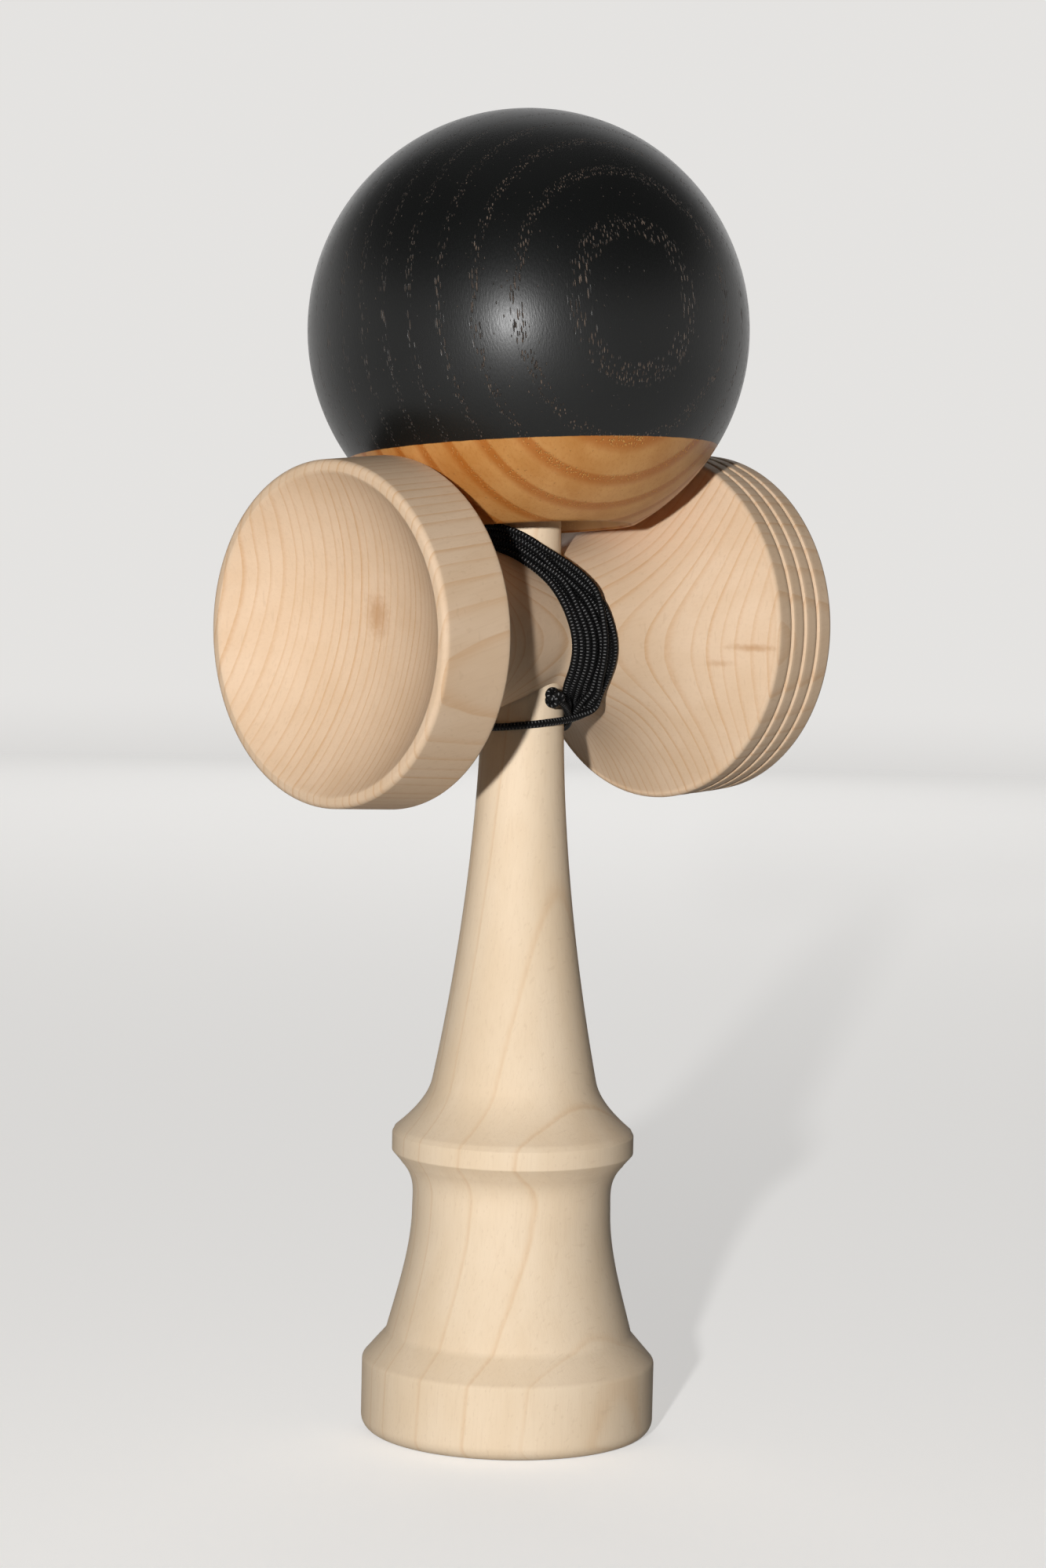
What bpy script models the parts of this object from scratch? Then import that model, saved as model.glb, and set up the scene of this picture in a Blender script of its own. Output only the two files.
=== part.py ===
"""A kendama: a turned handle (the ken), a crosspiece with two cups (the sarado), a ball with a hole (the
tama) that rests on both cups over the handle's spike, and a string wound round the crossing.

The origin is the centre of the foot's flat rim. +Z runs up the handle, +X along the crosspiece to its big
cup, and -Y is the front, where the string's end knot shows. Every size is in metres.
"""

import math

import bmesh
import bpy
from mathutils import Matrix, Vector

MM = 0.001

# Clearances between pieces
SEAT_GAP = 0.3 * MM        # handle to crosspiece, ball to cups, bead to its seat, knot to its pocket
TIP_CLEARANCE = 0.46 * MM  # spike's tip to the bead above it
BALL_CLEARANCE = 4.463 * MM   # crosspiece's waist to the rim of an upright ball above it
STRING_GAP = 0.35 * MM     # string to wood
JOIN_GAP = 0.3 * MM        # between two stretches of the string, face to face

# Handle: heights from the floor, radii from its axis
FOOT_RADIUS = 20.2 * MM
FOOT_BAND_TOP = 9.9 * MM
FOOT_CORNER = 2.2 * MM         # rounding at the floor
FOOT_RIM_WIDTH = 1.3 * MM      # flat ring that the handle stands on
FOOT_BOWL_DEPTH = 7.5 * MM
SHOULDER_CORNER = 1.0 * MM
SHOULDER_SLOPE = 48.0          # degrees from the floor, of the sloping step above the band
NECK_FOOT_RADIUS = 17.0 * MM
NECK_FOOT_HEIGHT = 13.9 * MM
NECK_WAIST_RADIUS = 13.7 * MM
NECK_WAIST_HEIGHT = 31.0 * MM
RING_RADIUS = 16.65 * MM
RING_BOTTOM = 38.9 * MM
RING_TOP = 41.9 * MM
RING_UNDERCUT = 1.2 * MM       # chamfer under the ring
RING_CORNER = 0.4 * MM
RING_SLOPE = 50.0              # degrees from the floor, of the flare where it meets the ring's corner
FLARE_RADIUS = 11.3 * MM       # where the shaft starts to spread to the ring
FLARE_HEIGHT = 49.0 * MM
SHAFT_TOP_RADIUS = 5.65 * MM   # just under the crosspiece
SHAFT_TAPER_POWER = 1.87
SPIKE_ROOT_RADIUS = 4.8 * MM   # just above the crosspiece
SPIKE_SHOULDER_RADIUS = 4.15 * MM
SPIKE_SHOULDER_BELOW_TIP = 13.0 * MM
SPIKE_NOSE_RADIUS = 1.7 * MM
SPIKE_NOSE_TAPER = 15.0        # degrees from the axis, where the round nose ends

# Crosspiece: distances from its middle along X, radii from its axis
SARADO_HEIGHT = 111.3 * MM
WAIST_RADIUS = 9.2 * MM
WAIST_ROUNDING = 1.0 * MM
WAIST_SPREAD = 0.24              # slope of the waist to both sides of its rounded middle
CUP_FLARE_POWER = 4.0            # of the flare that the slope runs into, up to the cups' backs
CUP_EDGE_ROUNDING = 0.7 * MM
CUP_LIP_WIDTH = 0.8 * MM
SMALL_CUP_BACK_RADIUS = 23.5 * MM
SMALL_CUP_RIM_RADIUS = 22.95 * MM
SMALL_CUP_BAND_WIDTH = 11.4 * MM
SMALL_CUP_BOWL_DEPTH = 9.4 * MM
BIG_CUP_BACK_RADIUS = 24.3 * MM
BIG_CUP_RIM_RADIUS = 23.7 * MM
BIG_CUP_BAND_WIDTH = 11.9 * MM
BIG_CUP_BOWL_DEPTH = 10.0 * MM
GROOVE_COUNT = 3
GROOVE_FIRST = 3.1 * MM        # from the big cup's back edge
GROOVE_PITCH = 2.75 * MM
GROOVE_WIDTH = 0.7 * MM
GROOVE_DEPTH = 0.3 * MM

# Ball: heights from its own centre
BALL_RADIUS = 30.0 * MM
BALL_LEAN_BACK = math.radians(6.3)    # the resting ball rocks on the two cups until it leans so far
BALL_LEAN_SIDE = math.radians(1.4)    # to the big cup
BEVEL_RIM_RADIUS = 13.5 * MM
BORE_RADIUS = 8.6 * MM
BEVEL_DEPTH = 5.4 * MM
BORE_TOP = 15.56 * MM
BORE_TIP_ANGLE = math.radians(59.0)   # half the angle of the cone that ends the bore
BALL_STRING_HOLE_RADIUS = 1.25 * MM
BALL_STRING_SINK_RADIUS = 2.8 * MM
BALL_STRING_SINK_DEPTH = 1.4 * MM
BEAD_RADIUS = 4.0 * MM
BEAD_HOLE_RADIUS = 1.1 * MM

# String
STRING_DIAMETER = 1.0 * MM
STRING_HOLE_RADIUS = 1.0 * MM
STRING_SINK_RADIUS = 2.6 * MM
STRING_SINK_DEPTH = 2.0 * MM
LEAD_BEND_RADIUS = 2.2 * MM
ANCHOR_KNOT_RADIUS = 1.3 * MM
END_KNOT_RADIUS = 1.5 * MM

# Winding: lanes lie side by side round the crosspiece's waist, layers on top of each other
LANE_PITCH = 1.52 * MM
LAYER_PITCH = 1.6 * MM
FIRST_LANE = -1.0
LANE_REVERSALS = (2.25, 4.75)     # turns at which the winding steps up a layer and comes back
CLIMB_TURNS = 0.5
WINDING_TURNS = 7.583
LEAD_TURNS = 0.075                # the first bit of the first turn, which the lead makes
WINDING_START = math.radians(-90.0)   # 0 is the top, 90 the front, 180 the bottom, -90 the back
WIDEST_LANE = 1.25                # lanes from the middle, at the spike and at the shaft
SHAFT_SIDE_ROOM = 0.1 * MM        # the shaft widens a little below the crosspiece
FRONT_BULGE = 2.0 * MM            # how far the turns lean to the big cup at the front
POINTS_PER_TURN = 24

# The string's last stretch, in millimetres from the crosspiece's middle: off the last turn, in front of the
# shaft, round its left side and its back, and up between the shaft and itself to the knot.
TAIL_ROUTE = (
    (9.3, -10.3, -12.6),
    (7.4, -9.4, -14.4),
    (4.3, -8.3, -14.3),
    (0.8, -7.3, -13.4),
    (-2.9, -6.3, -13.1),
    (-5.6, -4.0, -13.4),
    (-6.9, -0.4, -13.8),
    (-5.6, 4.1, -14.1),
    (-1.8, 6.7, -14.4),
    (2.8, 6.4, -14.7),
    (6.2, 3.2, -15.6),
    (6.9, -0.5, -15.9),
    (5.8, -3.9, -14.8),
    (4.0, -5.6, -12.8),
    (1.9, -6.9, -10.8),
)
END_KNOT_PLACE = (-1.6, -7.75, -9.0)

# Facets
TURNED_SEGMENTS = 40
BALL_SEGMENTS = 36
BEAD_SEGMENTS = 20
HOLE_SEGMENTS = 24

CROSSING = Vector((0.0, 0.0, SARADO_HEIGHT))


# Outlines: each is a list of (radius, height) points

def arc(centre, radius, start, end, steps):
    """Points on a circle about centre, from the start angle to the end angle in degrees."""
    angles = [math.radians(start + (end - start) * step / steps) for step in range(steps + 1)]
    return [(centre[0] + radius * math.cos(a), centre[1] + radius * math.sin(a)) for a in angles]


def sweep(start, start_slope, end, end_slope, steps):
    """A cubic curve from start to end, whose radius changes with height at the two slopes given."""
    rise = end[1] - start[1]
    points = []
    for step in range(steps + 1):
        s = step / steps
        radius = (
            start[0] * (2 * s**3 - 3 * s**2 + 1)
            + start_slope * rise * (s**3 - 2 * s**2 + s)
            + end[0] * (3 * s**2 - 2 * s**3)
            + end_slope * rise * (s**3 - s**2)
        )
        points.append((radius, start[1] + rise * s))
    return points


def bowl_radius(mouth_radius, depth):
    """Radius of the sphere that makes a bowl of this mouth and depth."""
    return (mouth_radius**2 + depth**2) / (2 * depth)


def bowl(mouth_radius, depth, steps):
    """A hollow from its mouth, at height 0, up to its deepest point on the axis."""
    sphere = bowl_radius(mouth_radius, depth)
    half_angle = math.degrees(math.asin(mouth_radius / sphere))
    points = arc((0.0, depth - sphere), sphere, 90.0 - half_angle, 90.0, steps)
    points[-1] = (0.0, depth)
    return points


def seat_bottom():
    return SARADO_HEIGHT - WAIST_RADIUS


def seat_top():
    return SARADO_HEIGHT + WAIST_RADIUS


def seat_radius(height):
    """Radius of the handle's taper at a height inside the crosspiece, or a little past it."""
    share = (height - seat_bottom()) / (seat_top() - seat_bottom())
    return SHAFT_TOP_RADIUS + (SPIKE_ROOT_RADIUS - SHAFT_TOP_RADIUS) * share


def spike_tip():
    """Height of the tip: its round nose just clears the bead of the leaning ball above it."""
    bead = ball_rest_centre() + bead_offset()
    apart = BEAD_RADIUS + SPIKE_NOSE_RADIUS + TIP_CLEARANCE
    return bead.z - math.sqrt(apart**2 - bead.x**2 - bead.y**2) + SPIKE_NOSE_RADIUS


def spike_outline():
    """From the tip to the top of the crosspiece."""
    tip = spike_tip()
    shoulder = (SPIKE_SHOULDER_RADIUS, tip - SPIKE_SHOULDER_BELOW_TIP)
    nose = arc((0.0, tip - SPIKE_NOSE_RADIUS), SPIKE_NOSE_RADIUS, 90.0, SPIKE_NOSE_TAPER, 4)
    nose[0] = (0.0, tip)
    taper = (SPIKE_ROOT_RADIUS - SPIKE_SHOULDER_RADIUS) / (shoulder[1] - seat_top())
    point_slope = -math.tan(math.radians(SPIKE_NOSE_TAPER))
    return nose[:-1] + sweep(nose[-1], point_slope, shoulder, -taper, 5) + [(SPIKE_ROOT_RADIUS, seat_top())]


def shaft_outline():
    """From under the crosspiece to the flare: the radius grows with a power of the way down."""
    steps = 9
    length = seat_bottom() - FLARE_HEIGHT
    points = []
    for step in range(steps + 1):
        s = step / steps
        radius = SHAFT_TOP_RADIUS + (FLARE_RADIUS - SHAFT_TOP_RADIUS) * s**SHAFT_TAPER_POWER
        points.append((radius, seat_bottom() - length * s))
    return points


def ring_outline():
    """The flare, the ring and the chamfer under it."""
    shaft_slope = -SHAFT_TAPER_POWER * (FLARE_RADIUS - SHAFT_TOP_RADIUS) / (seat_bottom() - FLARE_HEIGHT)
    edge = (RING_RADIUS - RING_CORNER, RING_TOP + RING_CORNER)
    edge_slope = -math.tan(math.radians(RING_SLOPE))
    flare = sweep((FLARE_RADIUS, FLARE_HEIGHT), shaft_slope, edge, edge_slope, 6)
    corner = arc((RING_RADIUS - RING_CORNER, RING_TOP - RING_CORNER), RING_CORNER, RING_SLOPE, 0.0, 2)
    under = [
        (RING_RADIUS, RING_BOTTOM + RING_CORNER),
        (RING_RADIUS - RING_CORNER / 2, RING_BOTTOM),
        (RING_RADIUS - RING_UNDERCUT, RING_BOTTOM - RING_UNDERCUT),
    ]
    return flare[1:] + corner + under


def neck_outline():
    """The hollow between the ring and the foot."""
    waist = (NECK_WAIST_RADIUS, NECK_WAIST_HEIGHT)
    top = (RING_RADIUS - RING_UNDERCUT, RING_BOTTOM - RING_UNDERCUT)
    foot = (NECK_FOOT_RADIUS, NECK_FOOT_HEIGHT)
    upper = sweep(top, 0.9, waist, 0.0, 5)
    lower = sweep(waist, 0.0, foot, -0.26, 6)
    return upper[1:] + lower[1:]


def foot_outline():
    """The shoulder, the band, the rounded lower edge, the flat rim and the bowl."""
    shoulder = arc((FOOT_RADIUS - SHOULDER_CORNER, FOOT_BAND_TOP), SHOULDER_CORNER, SHOULDER_SLOPE, 0.0, 3)
    corner = arc((FOOT_RADIUS - FOOT_CORNER, FOOT_CORNER), FOOT_CORNER, 0.0, -90.0, 4)
    mouth = FOOT_RADIUS - FOOT_CORNER - FOOT_RIM_WIDTH
    return shoulder + corner + bowl(mouth, FOOT_BOWL_DEPTH, 7)


def cup_outline(back_radius, rim_radius, band_width, bowl_depth, grooves):
    """One half of the crosspiece: from the deepest point of its bowl out to the lip, back over the band and
    down the flare to the waist."""
    half_length = crosspiece_half_length()
    back = half_length - band_width
    mouth = rim_radius - CUP_EDGE_ROUNDING - CUP_LIP_WIDTH
    hollow = [(r, half_length - z) for r, z in bowl(mouth, bowl_depth, 7)]
    rim_middle = (rim_radius - CUP_EDGE_ROUNDING, half_length - CUP_EDGE_ROUNDING)
    rim = arc(rim_middle, CUP_EDGE_ROUNDING, 90.0, 0.0, 3)
    band = []
    for number in reversed(range(grooves)):
        middle = back + GROOVE_FIRST + GROOVE_PITCH * number
        for offset, depth in ((0.5, 0.0), (0.0, GROOVE_DEPTH), (-0.5, 0.0)):
            along = middle + offset * GROOVE_WIDTH
            share = (along - back) / band_width
            band.append((back_radius + (rim_radius - back_radius) * share - depth, along))
    edge_middle = (back_radius - CUP_EDGE_ROUNDING, back + CUP_EDGE_ROUNDING)
    edge = arc(edge_middle, CUP_EDGE_ROUNDING, 0.0, -90.0, 3)
    steps = 10
    flare = []
    for step in range(1, steps):
        along = back * (1.0 - step / steps)
        flare.append((flare_radius(along, back_radius - CUP_EDGE_ROUNDING, back), along))
    return list(reversed(hollow)) + rim + band + edge + flare


def flare_radius(along, back_radius, back):
    """Radius at a distance from the crosspiece's middle: a rounded waist, a slope and a flare."""
    flare = back_radius - waist_slope_radius(back)
    return waist_slope_radius(along) + flare * (along / back)**CUP_FLARE_POWER


def waist_slope_radius(along):
    return WAIST_RADIUS + WAIST_SPREAD * (math.hypot(along, WAIST_ROUNDING) - WAIST_ROUNDING)


def crosspiece_radius(x):
    """Radius of the crosspiece between its cups, at a place along X."""
    back_radius, band_width = SMALL_CUP_BACK_RADIUS, SMALL_CUP_BAND_WIDTH
    if x > 0:
        back_radius, band_width = BIG_CUP_BACK_RADIUS, BIG_CUP_BAND_WIDTH
    return flare_radius(abs(x), back_radius - CUP_EDGE_ROUNDING, crosspiece_half_length() - band_width)


def ball_outline():
    """Down the outside from the string's hole, in over the bevel, up the bore and out by the hole."""
    sink_half_angle = math.degrees(math.asin(BALL_STRING_SINK_RADIUS / BALL_RADIUS))
    rim_half_angle = math.degrees(math.asin(BEVEL_RIM_RADIUS / BALL_RADIUS))
    outside = arc((0.0, 0.0), BALL_RADIUS, 90.0 - sink_half_angle, rim_half_angle - 90.0, 22)
    bevel_top = outside[-1][1] + BEVEL_DEPTH
    cone_top = bore_apex() - BALL_STRING_HOLE_RADIUS / math.tan(BORE_TIP_ANGLE)
    return outside + [
        (BORE_RADIUS, bevel_top),
        (BORE_RADIUS, BORE_TOP),
        (BALL_STRING_HOLE_RADIUS, cone_top),
        (BALL_STRING_HOLE_RADIUS, outside[0][1] - BALL_STRING_SINK_DEPTH),
    ]


def bore_apex():
    """Height above the ball's centre at which the cone of the bore would come to a point."""
    return BORE_TOP + BORE_RADIUS / math.tan(BORE_TIP_ANGLE)


def bead_height():
    """Height of the bead above the ball's centre, one gap from the cone that ends the bore."""
    return bore_apex() - (BEAD_RADIUS + SEAT_GAP) / math.sin(BORE_TIP_ANGLE)


def ball_lean():
    """Turns the upright ball back and to the side, about its own centre."""
    return Matrix.Rotation(BALL_LEAN_SIDE, 3, "Y") @ Matrix.Rotation(-BALL_LEAN_BACK, 3, "X")


def bead_offset():
    """From the resting ball's centre to the bead at the top of its bore."""
    return ball_lean() @ Vector((0.0, 0.0, bead_height()))


def bead_outline():
    """A round bead with a hole, about its own centre."""
    half_angle = math.degrees(math.asin(BEAD_HOLE_RADIUS / BEAD_RADIUS))
    return arc((0.0, 0.0), BEAD_RADIUS, 90.0 - half_angle, half_angle - 90.0, 9)


def ball_rest_height():
    """Height of the resting ball's centre above the crosspiece's axis."""
    return WAIST_RADIUS + BALL_CLEARANCE + math.sqrt(BALL_RADIUS**2 - BEVEL_RIM_RADIUS**2)


def ball_to_edge(cup_back_radius):
    """How far along X the resting ball's centre is from the middle of a cup's rounded back edge."""
    reach = BALL_RADIUS + SEAT_GAP + CUP_EDGE_ROUNDING
    rise = ball_rest_height() - (cup_back_radius - CUP_EDGE_ROUNDING)
    return math.sqrt(reach**2 - rise**2)


def ball_rest_centre():
    """The ball rests on both cups' back edges, a little nearer the cup that gives it less room."""
    small_side = ball_to_edge(SMALL_CUP_BACK_RADIUS) + SMALL_CUP_BAND_WIDTH
    big_side = ball_to_edge(BIG_CUP_BACK_RADIUS) + BIG_CUP_BAND_WIDTH
    return Vector(((small_side - big_side) / 2, 0.0, SARADO_HEIGHT + ball_rest_height()))


def crosspiece_half_length():
    """The crosspiece is as long as its ball and its cups' bands ask, the same on both sides."""
    small_side = ball_to_edge(SMALL_CUP_BACK_RADIUS) + SMALL_CUP_BAND_WIDTH
    big_side = ball_to_edge(BIG_CUP_BACK_RADIUS) + BIG_CUP_BAND_WIDTH
    return (small_side + big_side) / 2 - CUP_EDGE_ROUNDING


# Solids

def material(name, colour, roughness):
    made = bpy.data.materials.new(name)
    made.use_nodes = True
    shader = made.node_tree.nodes["Principled BSDF"]
    shader.inputs["Base Color"].default_value = (*colour, 1.0)
    shader.inputs["Roughness"].default_value = roughness
    return made


def add_object(name, data, finish, place=(0.0, 0.0, 0.0)):
    made = bpy.data.objects.new(name, data)
    made.location = place
    made.data.materials.append(finish)
    bpy.context.scene.collection.objects.link(made)
    return made


def turned_mesh(name, outline, segments, closed):
    """Turn an outline about the Z axis. A closed outline comes back to its first point, as a ring does."""
    work = bmesh.new()
    rows = [work.verts.new((radius, 0.0, height)) for radius, height in outline]
    edges = [work.edges.new(pair) for pair in zip(rows, rows[1:])]
    if closed:
        edges.append(work.edges.new((rows[-1], rows[0])))
    bmesh.ops.spin(
        work, geom=rows + edges, cent=(0, 0, 0), axis=(0, 0, 1), angle=math.tau, steps=segments, use_merge=True
    )
    bmesh.ops.remove_doubles(work, verts=work.verts, dist=1e-7)
    bmesh.ops.recalc_face_normals(work, faces=work.faces)
    mesh = bpy.data.meshes.new(name)
    work.to_mesh(mesh)
    work.free()
    mesh.shade_smooth()
    mesh.set_sharp_from_angle(angle=math.radians(35))
    return mesh


def cutter(name, start, end, start_radius, end_radius):
    """A cone or cylinder between two points, kept out of the model and used to cut."""
    axis = end - start
    work = bmesh.new()
    turn = Vector((0, 0, 1)).rotation_difference(axis).to_matrix().to_4x4()
    bmesh.ops.create_cone(
        work, cap_ends=True, segments=HOLE_SEGMENTS, radius1=start_radius, radius2=end_radius, depth=axis.length,
        matrix=Matrix.Translation((start + end) / 2) @ turn,
    )
    mesh = bpy.data.meshes.new(name)
    work.to_mesh(mesh)
    work.free()
    made = bpy.data.objects.new(name, mesh)
    made.hide_render = True
    made.display_type = "WIRE"
    bpy.context.scene.collection.objects.link(made)
    return made


def cut(target, tool):
    step = target.modifiers.new(tool.name, "BOOLEAN")
    step.operation = "DIFFERENCE"
    step.solver = "EXACT"
    step.object = tool


def make_ken(finish):
    outline = spike_outline() + shaft_outline() + ring_outline() + neck_outline() + foot_outline()
    ken = add_object("ken", turned_mesh("ken", outline, TURNED_SEGMENTS, closed=False), finish)
    past = Vector((0.0, SHAFT_TOP_RADIUS + 2 * MM, 0.0))
    cut(ken, cutter("ken_cross_hole", CROSSING - past, CROSSING + past, STRING_HOLE_RADIUS, STRING_HOLE_RADIUS))
    pocket = ANCHOR_KNOT_RADIUS + SEAT_GAP
    pocket_end = CROSSING + Vector((0.0, anchor_knot_place().y + pocket, 0.0))
    cut(ken, cutter("ken_knot_pocket", CROSSING - past, pocket_end, pocket, pocket))
    return ken


def make_sarado(finish):
    small = cup_outline(
        SMALL_CUP_BACK_RADIUS, SMALL_CUP_RIM_RADIUS, SMALL_CUP_BAND_WIDTH, SMALL_CUP_BOWL_DEPTH, 0
    )
    big = cup_outline(
        BIG_CUP_BACK_RADIUS, BIG_CUP_RIM_RADIUS, BIG_CUP_BAND_WIDTH, BIG_CUP_BOWL_DEPTH, GROOVE_COUNT
    )
    outline = big + [(WAIST_RADIUS, 0.0)] + [(radius, -along) for radius, along in reversed(small)]
    sarado = add_object("sarado", turned_mesh("sarado", outline, TURNED_SEGMENTS, closed=False), finish, CROSSING)
    sarado.rotation_euler = (0.0, math.radians(90.0), 0.0)
    low = SARADO_HEIGHT - WAIST_RADIUS - 2 * MM
    high = SARADO_HEIGHT + WAIST_RADIUS + 2 * MM
    cut(sarado, cutter(
        "sarado_ken_hole", Vector((0.0, 0.0, low)), Vector((0.0, 0.0, high)),
        seat_radius(low) + SEAT_GAP, seat_radius(high) + SEAT_GAP,
    ))
    mouth = CROSSING + Vector((0.0, WAIST_RADIUS, 0.0))
    out = Vector((0.0, 1.0, 0.0))
    cut(sarado, cutter("sarado_string_hole", CROSSING, mouth + out * MM, STRING_HOLE_RADIUS, STRING_HOLE_RADIUS))
    cut(sarado, cutter(
        "sarado_string_sink", mouth - out * STRING_SINK_DEPTH, mouth + out * STRING_SINK_DEPTH,
        STRING_HOLE_RADIUS, 2 * STRING_SINK_RADIUS - STRING_HOLE_RADIUS,
    ))
    return sarado


def make_ball(finish, centre):
    mesh = turned_mesh("tama", ball_outline(), BALL_SEGMENTS, closed=True)
    ball = add_object("tama", mesh, finish, centre)
    ball.rotation_euler = ball_lean().to_euler()
    return ball


def make_bead(finish, ball_centre):
    mesh = turned_mesh("string_bead", bead_outline(), BEAD_SEGMENTS, closed=True)
    bead = add_object("string_bead", mesh, finish, ball_centre + bead_offset())
    bead.rotation_euler = ball_lean().to_euler()
    return bead


# String

def smooth_step(share):
    share = min(1.0, max(0.0, share))
    return share * share * (3.0 - 2.0 * share)


def winding_slot(turn):
    """Lane and layer of the string after this many turns. The lane moves over by one each turn, turns back
    at each reversal, and the layer rises round that reversal."""
    lane = FIRST_LANE
    direction = 1.0
    last = 0.0
    for reversal in LANE_REVERSALS:
        if turn <= reversal:
            break
        lane += direction * (reversal - last)
        direction = -direction
        last = reversal
    lane += direction * (turn - last)
    layer = sum(smooth_step((turn - reversal) / CLIMB_TURNS + 0.5) for reversal in LANE_REVERSALS)
    return lane, layer


def winding_limits():
    """How far the middle of the turns is to the left at the spike, and to the right at the shaft."""
    aside = STRING_GAP + STRING_DIAMETER / 2 + WIDEST_LANE * LANE_PITCH
    return -(SPIKE_ROOT_RADIUS + aside), SHAFT_TOP_RADIUS + SHAFT_SIDE_ROOM + aside


def winding_reach():
    left, right = winding_limits()
    return (right - left) / 2


def back_bulge():
    """How far the turns lean at the back, so that the first of them starts over the string's hole."""
    left, right = winding_limits()
    return -(left + right) / 2 - FIRST_LANE * LANE_PITCH * lane_stretch(WINDING_START, 0.0)


def lane_stretch(angle, bulge):
    """A slanting lane takes more room along X than it is wide."""
    slope = winding_reach() * math.sin(angle) + bulge * math.sin(2 * angle)
    return math.hypot(1.0, slope / (WAIST_RADIUS + STRING_GAP + STRING_DIAMETER))


def winding_point(turn):
    """A point on the string's axis: round the waist, left of the spike on top and right of the shaft below."""
    angle = WINDING_START + math.tau * turn
    lane, layer = winding_slot(turn)
    left, right = winding_limits()
    bulge = FRONT_BULGE if math.sin(angle) > 0 else back_bulge()
    middle = (left + right) / 2 - winding_reach() * math.cos(angle) + bulge * math.sin(angle) ** 2
    x = middle + lane * LANE_PITCH * lane_stretch(angle, bulge)
    tilt = math.atan2(crosspiece_radius(x + MM) - crosspiece_radius(x - MM), 2 * MM)
    lift = (STRING_GAP + STRING_DIAMETER / 2) / math.cos(tilt)
    radius = crosspiece_radius(x) + lift + layer * LAYER_PITCH
    return CROSSING + Vector((x, -radius * math.sin(angle), radius * math.cos(angle)))


def winding_path():
    """The turns, with a straight run of one diameter at each end."""
    turns = WINDING_TURNS - LEAD_TURNS
    count = round(turns * POINTS_PER_TURN)
    path = [winding_point(LEAD_TURNS + turns * step / count) for step in range(count + 1)]
    first = (path[1] - path[0]).normalized()
    last = (path[-1] - path[-2]).normalized()
    return [path[0] - first * STRING_DIAMETER] + path + [path[-1] + last * STRING_DIAMETER]


def least_gap(path):
    """Least clear distance of the winding to itself, measured between points half a turn or more apart."""
    apart = POINTS_PER_TURN // 2
    closest = min(
        distance_to_segment(path[i], path[j], path[j + 1])
        for i in range(len(path)) for j in range(i + apart, len(path) - 1)
    )
    return closest - STRING_DIAMETER


def distance_to_segment(point, start, end):
    along = end - start
    share = min(1.0, max(0.0, (point - start).dot(along) / along.length_squared))
    return (point - start - along * share).length


def smooth_route(points, spacing):
    """Points at this spacing on a Catmull-Rom curve through the route's own points."""
    ends = [2 * points[0] - points[1]] + points + [2 * points[-1] - points[-2]]
    dense = []
    for before, start, end, after in zip(ends, ends[1:], ends[2:], ends[3:]):
        for step in range(16):
            s = step / 16
            dense.append(0.5 * (
                2 * start + (end - before) * s + (2 * before - 5 * start + 4 * end - after) * s**2
                + (3 * start - before - 3 * end + after) * s**3
            ))
    dense.append(points[-1])
    length = sum((b - a).length for a, b in zip(dense, dense[1:]))
    wanted = length / round(length / spacing)
    route = [dense[0]]
    covered = 0.0
    for a, b in zip(dense, dense[1:]):
        covered += (b - a).length
        if covered >= wanted:
            route.append(b)
            covered -= wanted
    route[-1] = dense[-1]
    return route


def anchor_knot_place():
    """In the handle's pocket, with its front just inside the taper."""
    return Vector((0.0, ANCHOR_KNOT_RADIUS + 2 * SEAT_GAP - seat_radius(SARADO_HEIGHT), 0.0))


def lead_path(winding):
    """From the anchor knot straight back through the handle and the crosspiece, then round into the turns."""
    start = CROSSING + anchor_knot_place() + Vector((0.0, ANCHOR_KNOT_RADIUS + JOIN_GAP, 0.0))
    over_hole = winding_point(0.0)
    out = Vector((0.0, 1.0, 0.0))
    bend_start = Vector((CROSSING.x, over_hole.y - LEAD_BEND_RADIUS, CROSSING.z))
    side = winding_point(LEAD_TURNS / 4) - over_hole
    side.y = 0.0
    side.normalize()
    bend = []
    for degrees in (25, 50, 75):
        angle = math.radians(degrees)
        bend.append(bend_start + LEAD_BEND_RADIUS * (out * math.sin(angle) + side * (1.0 - math.cos(angle))))
    direction = (winding[1] - winding[0]).normalized()
    end = winding[0] - direction * JOIN_GAP
    straight = [start, (start + bend_start) / 2, bend_start]
    return smooth_route(straight + bend + [end - direction * STRING_DIAMETER, end], STRING_DIAMETER)


def tail_path(winding):
    """From the end of the turns along the chosen route to the end knot."""
    direction = (winding[-1] - winding[-2]).normalized()
    start = winding[-1] + direction * JOIN_GAP
    route = [CROSSING + Vector(place) * MM for place in TAIL_ROUTE]
    knot = CROSSING + Vector(END_KNOT_PLACE) * MM
    into_knot = (route[-1] - knot).normalized()
    end = knot + into_knot * (END_KNOT_RADIUS + JOIN_GAP)
    points = [start, start + direction * STRING_DIAMETER] + route + [end + into_knot * STRING_DIAMETER, end]
    return smooth_route(points, 1.6 * STRING_DIAMETER)


def make_string(name, path, sides_setting, finish):
    """A tube along a path, with filled ends."""
    curve = bpy.data.curves.new(name, "CURVE")
    curve.dimensions = "3D"
    curve.bevel_depth = STRING_DIAMETER / 2
    curve.bevel_resolution = sides_setting
    curve.use_fill_caps = True
    spline = curve.splines.new("POLY")
    spline.points.add(len(path) - 1)
    for point, place in zip(spline.points, path):
        point.co = (*place, 1.0)
    return add_object(name, curve, finish)


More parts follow.
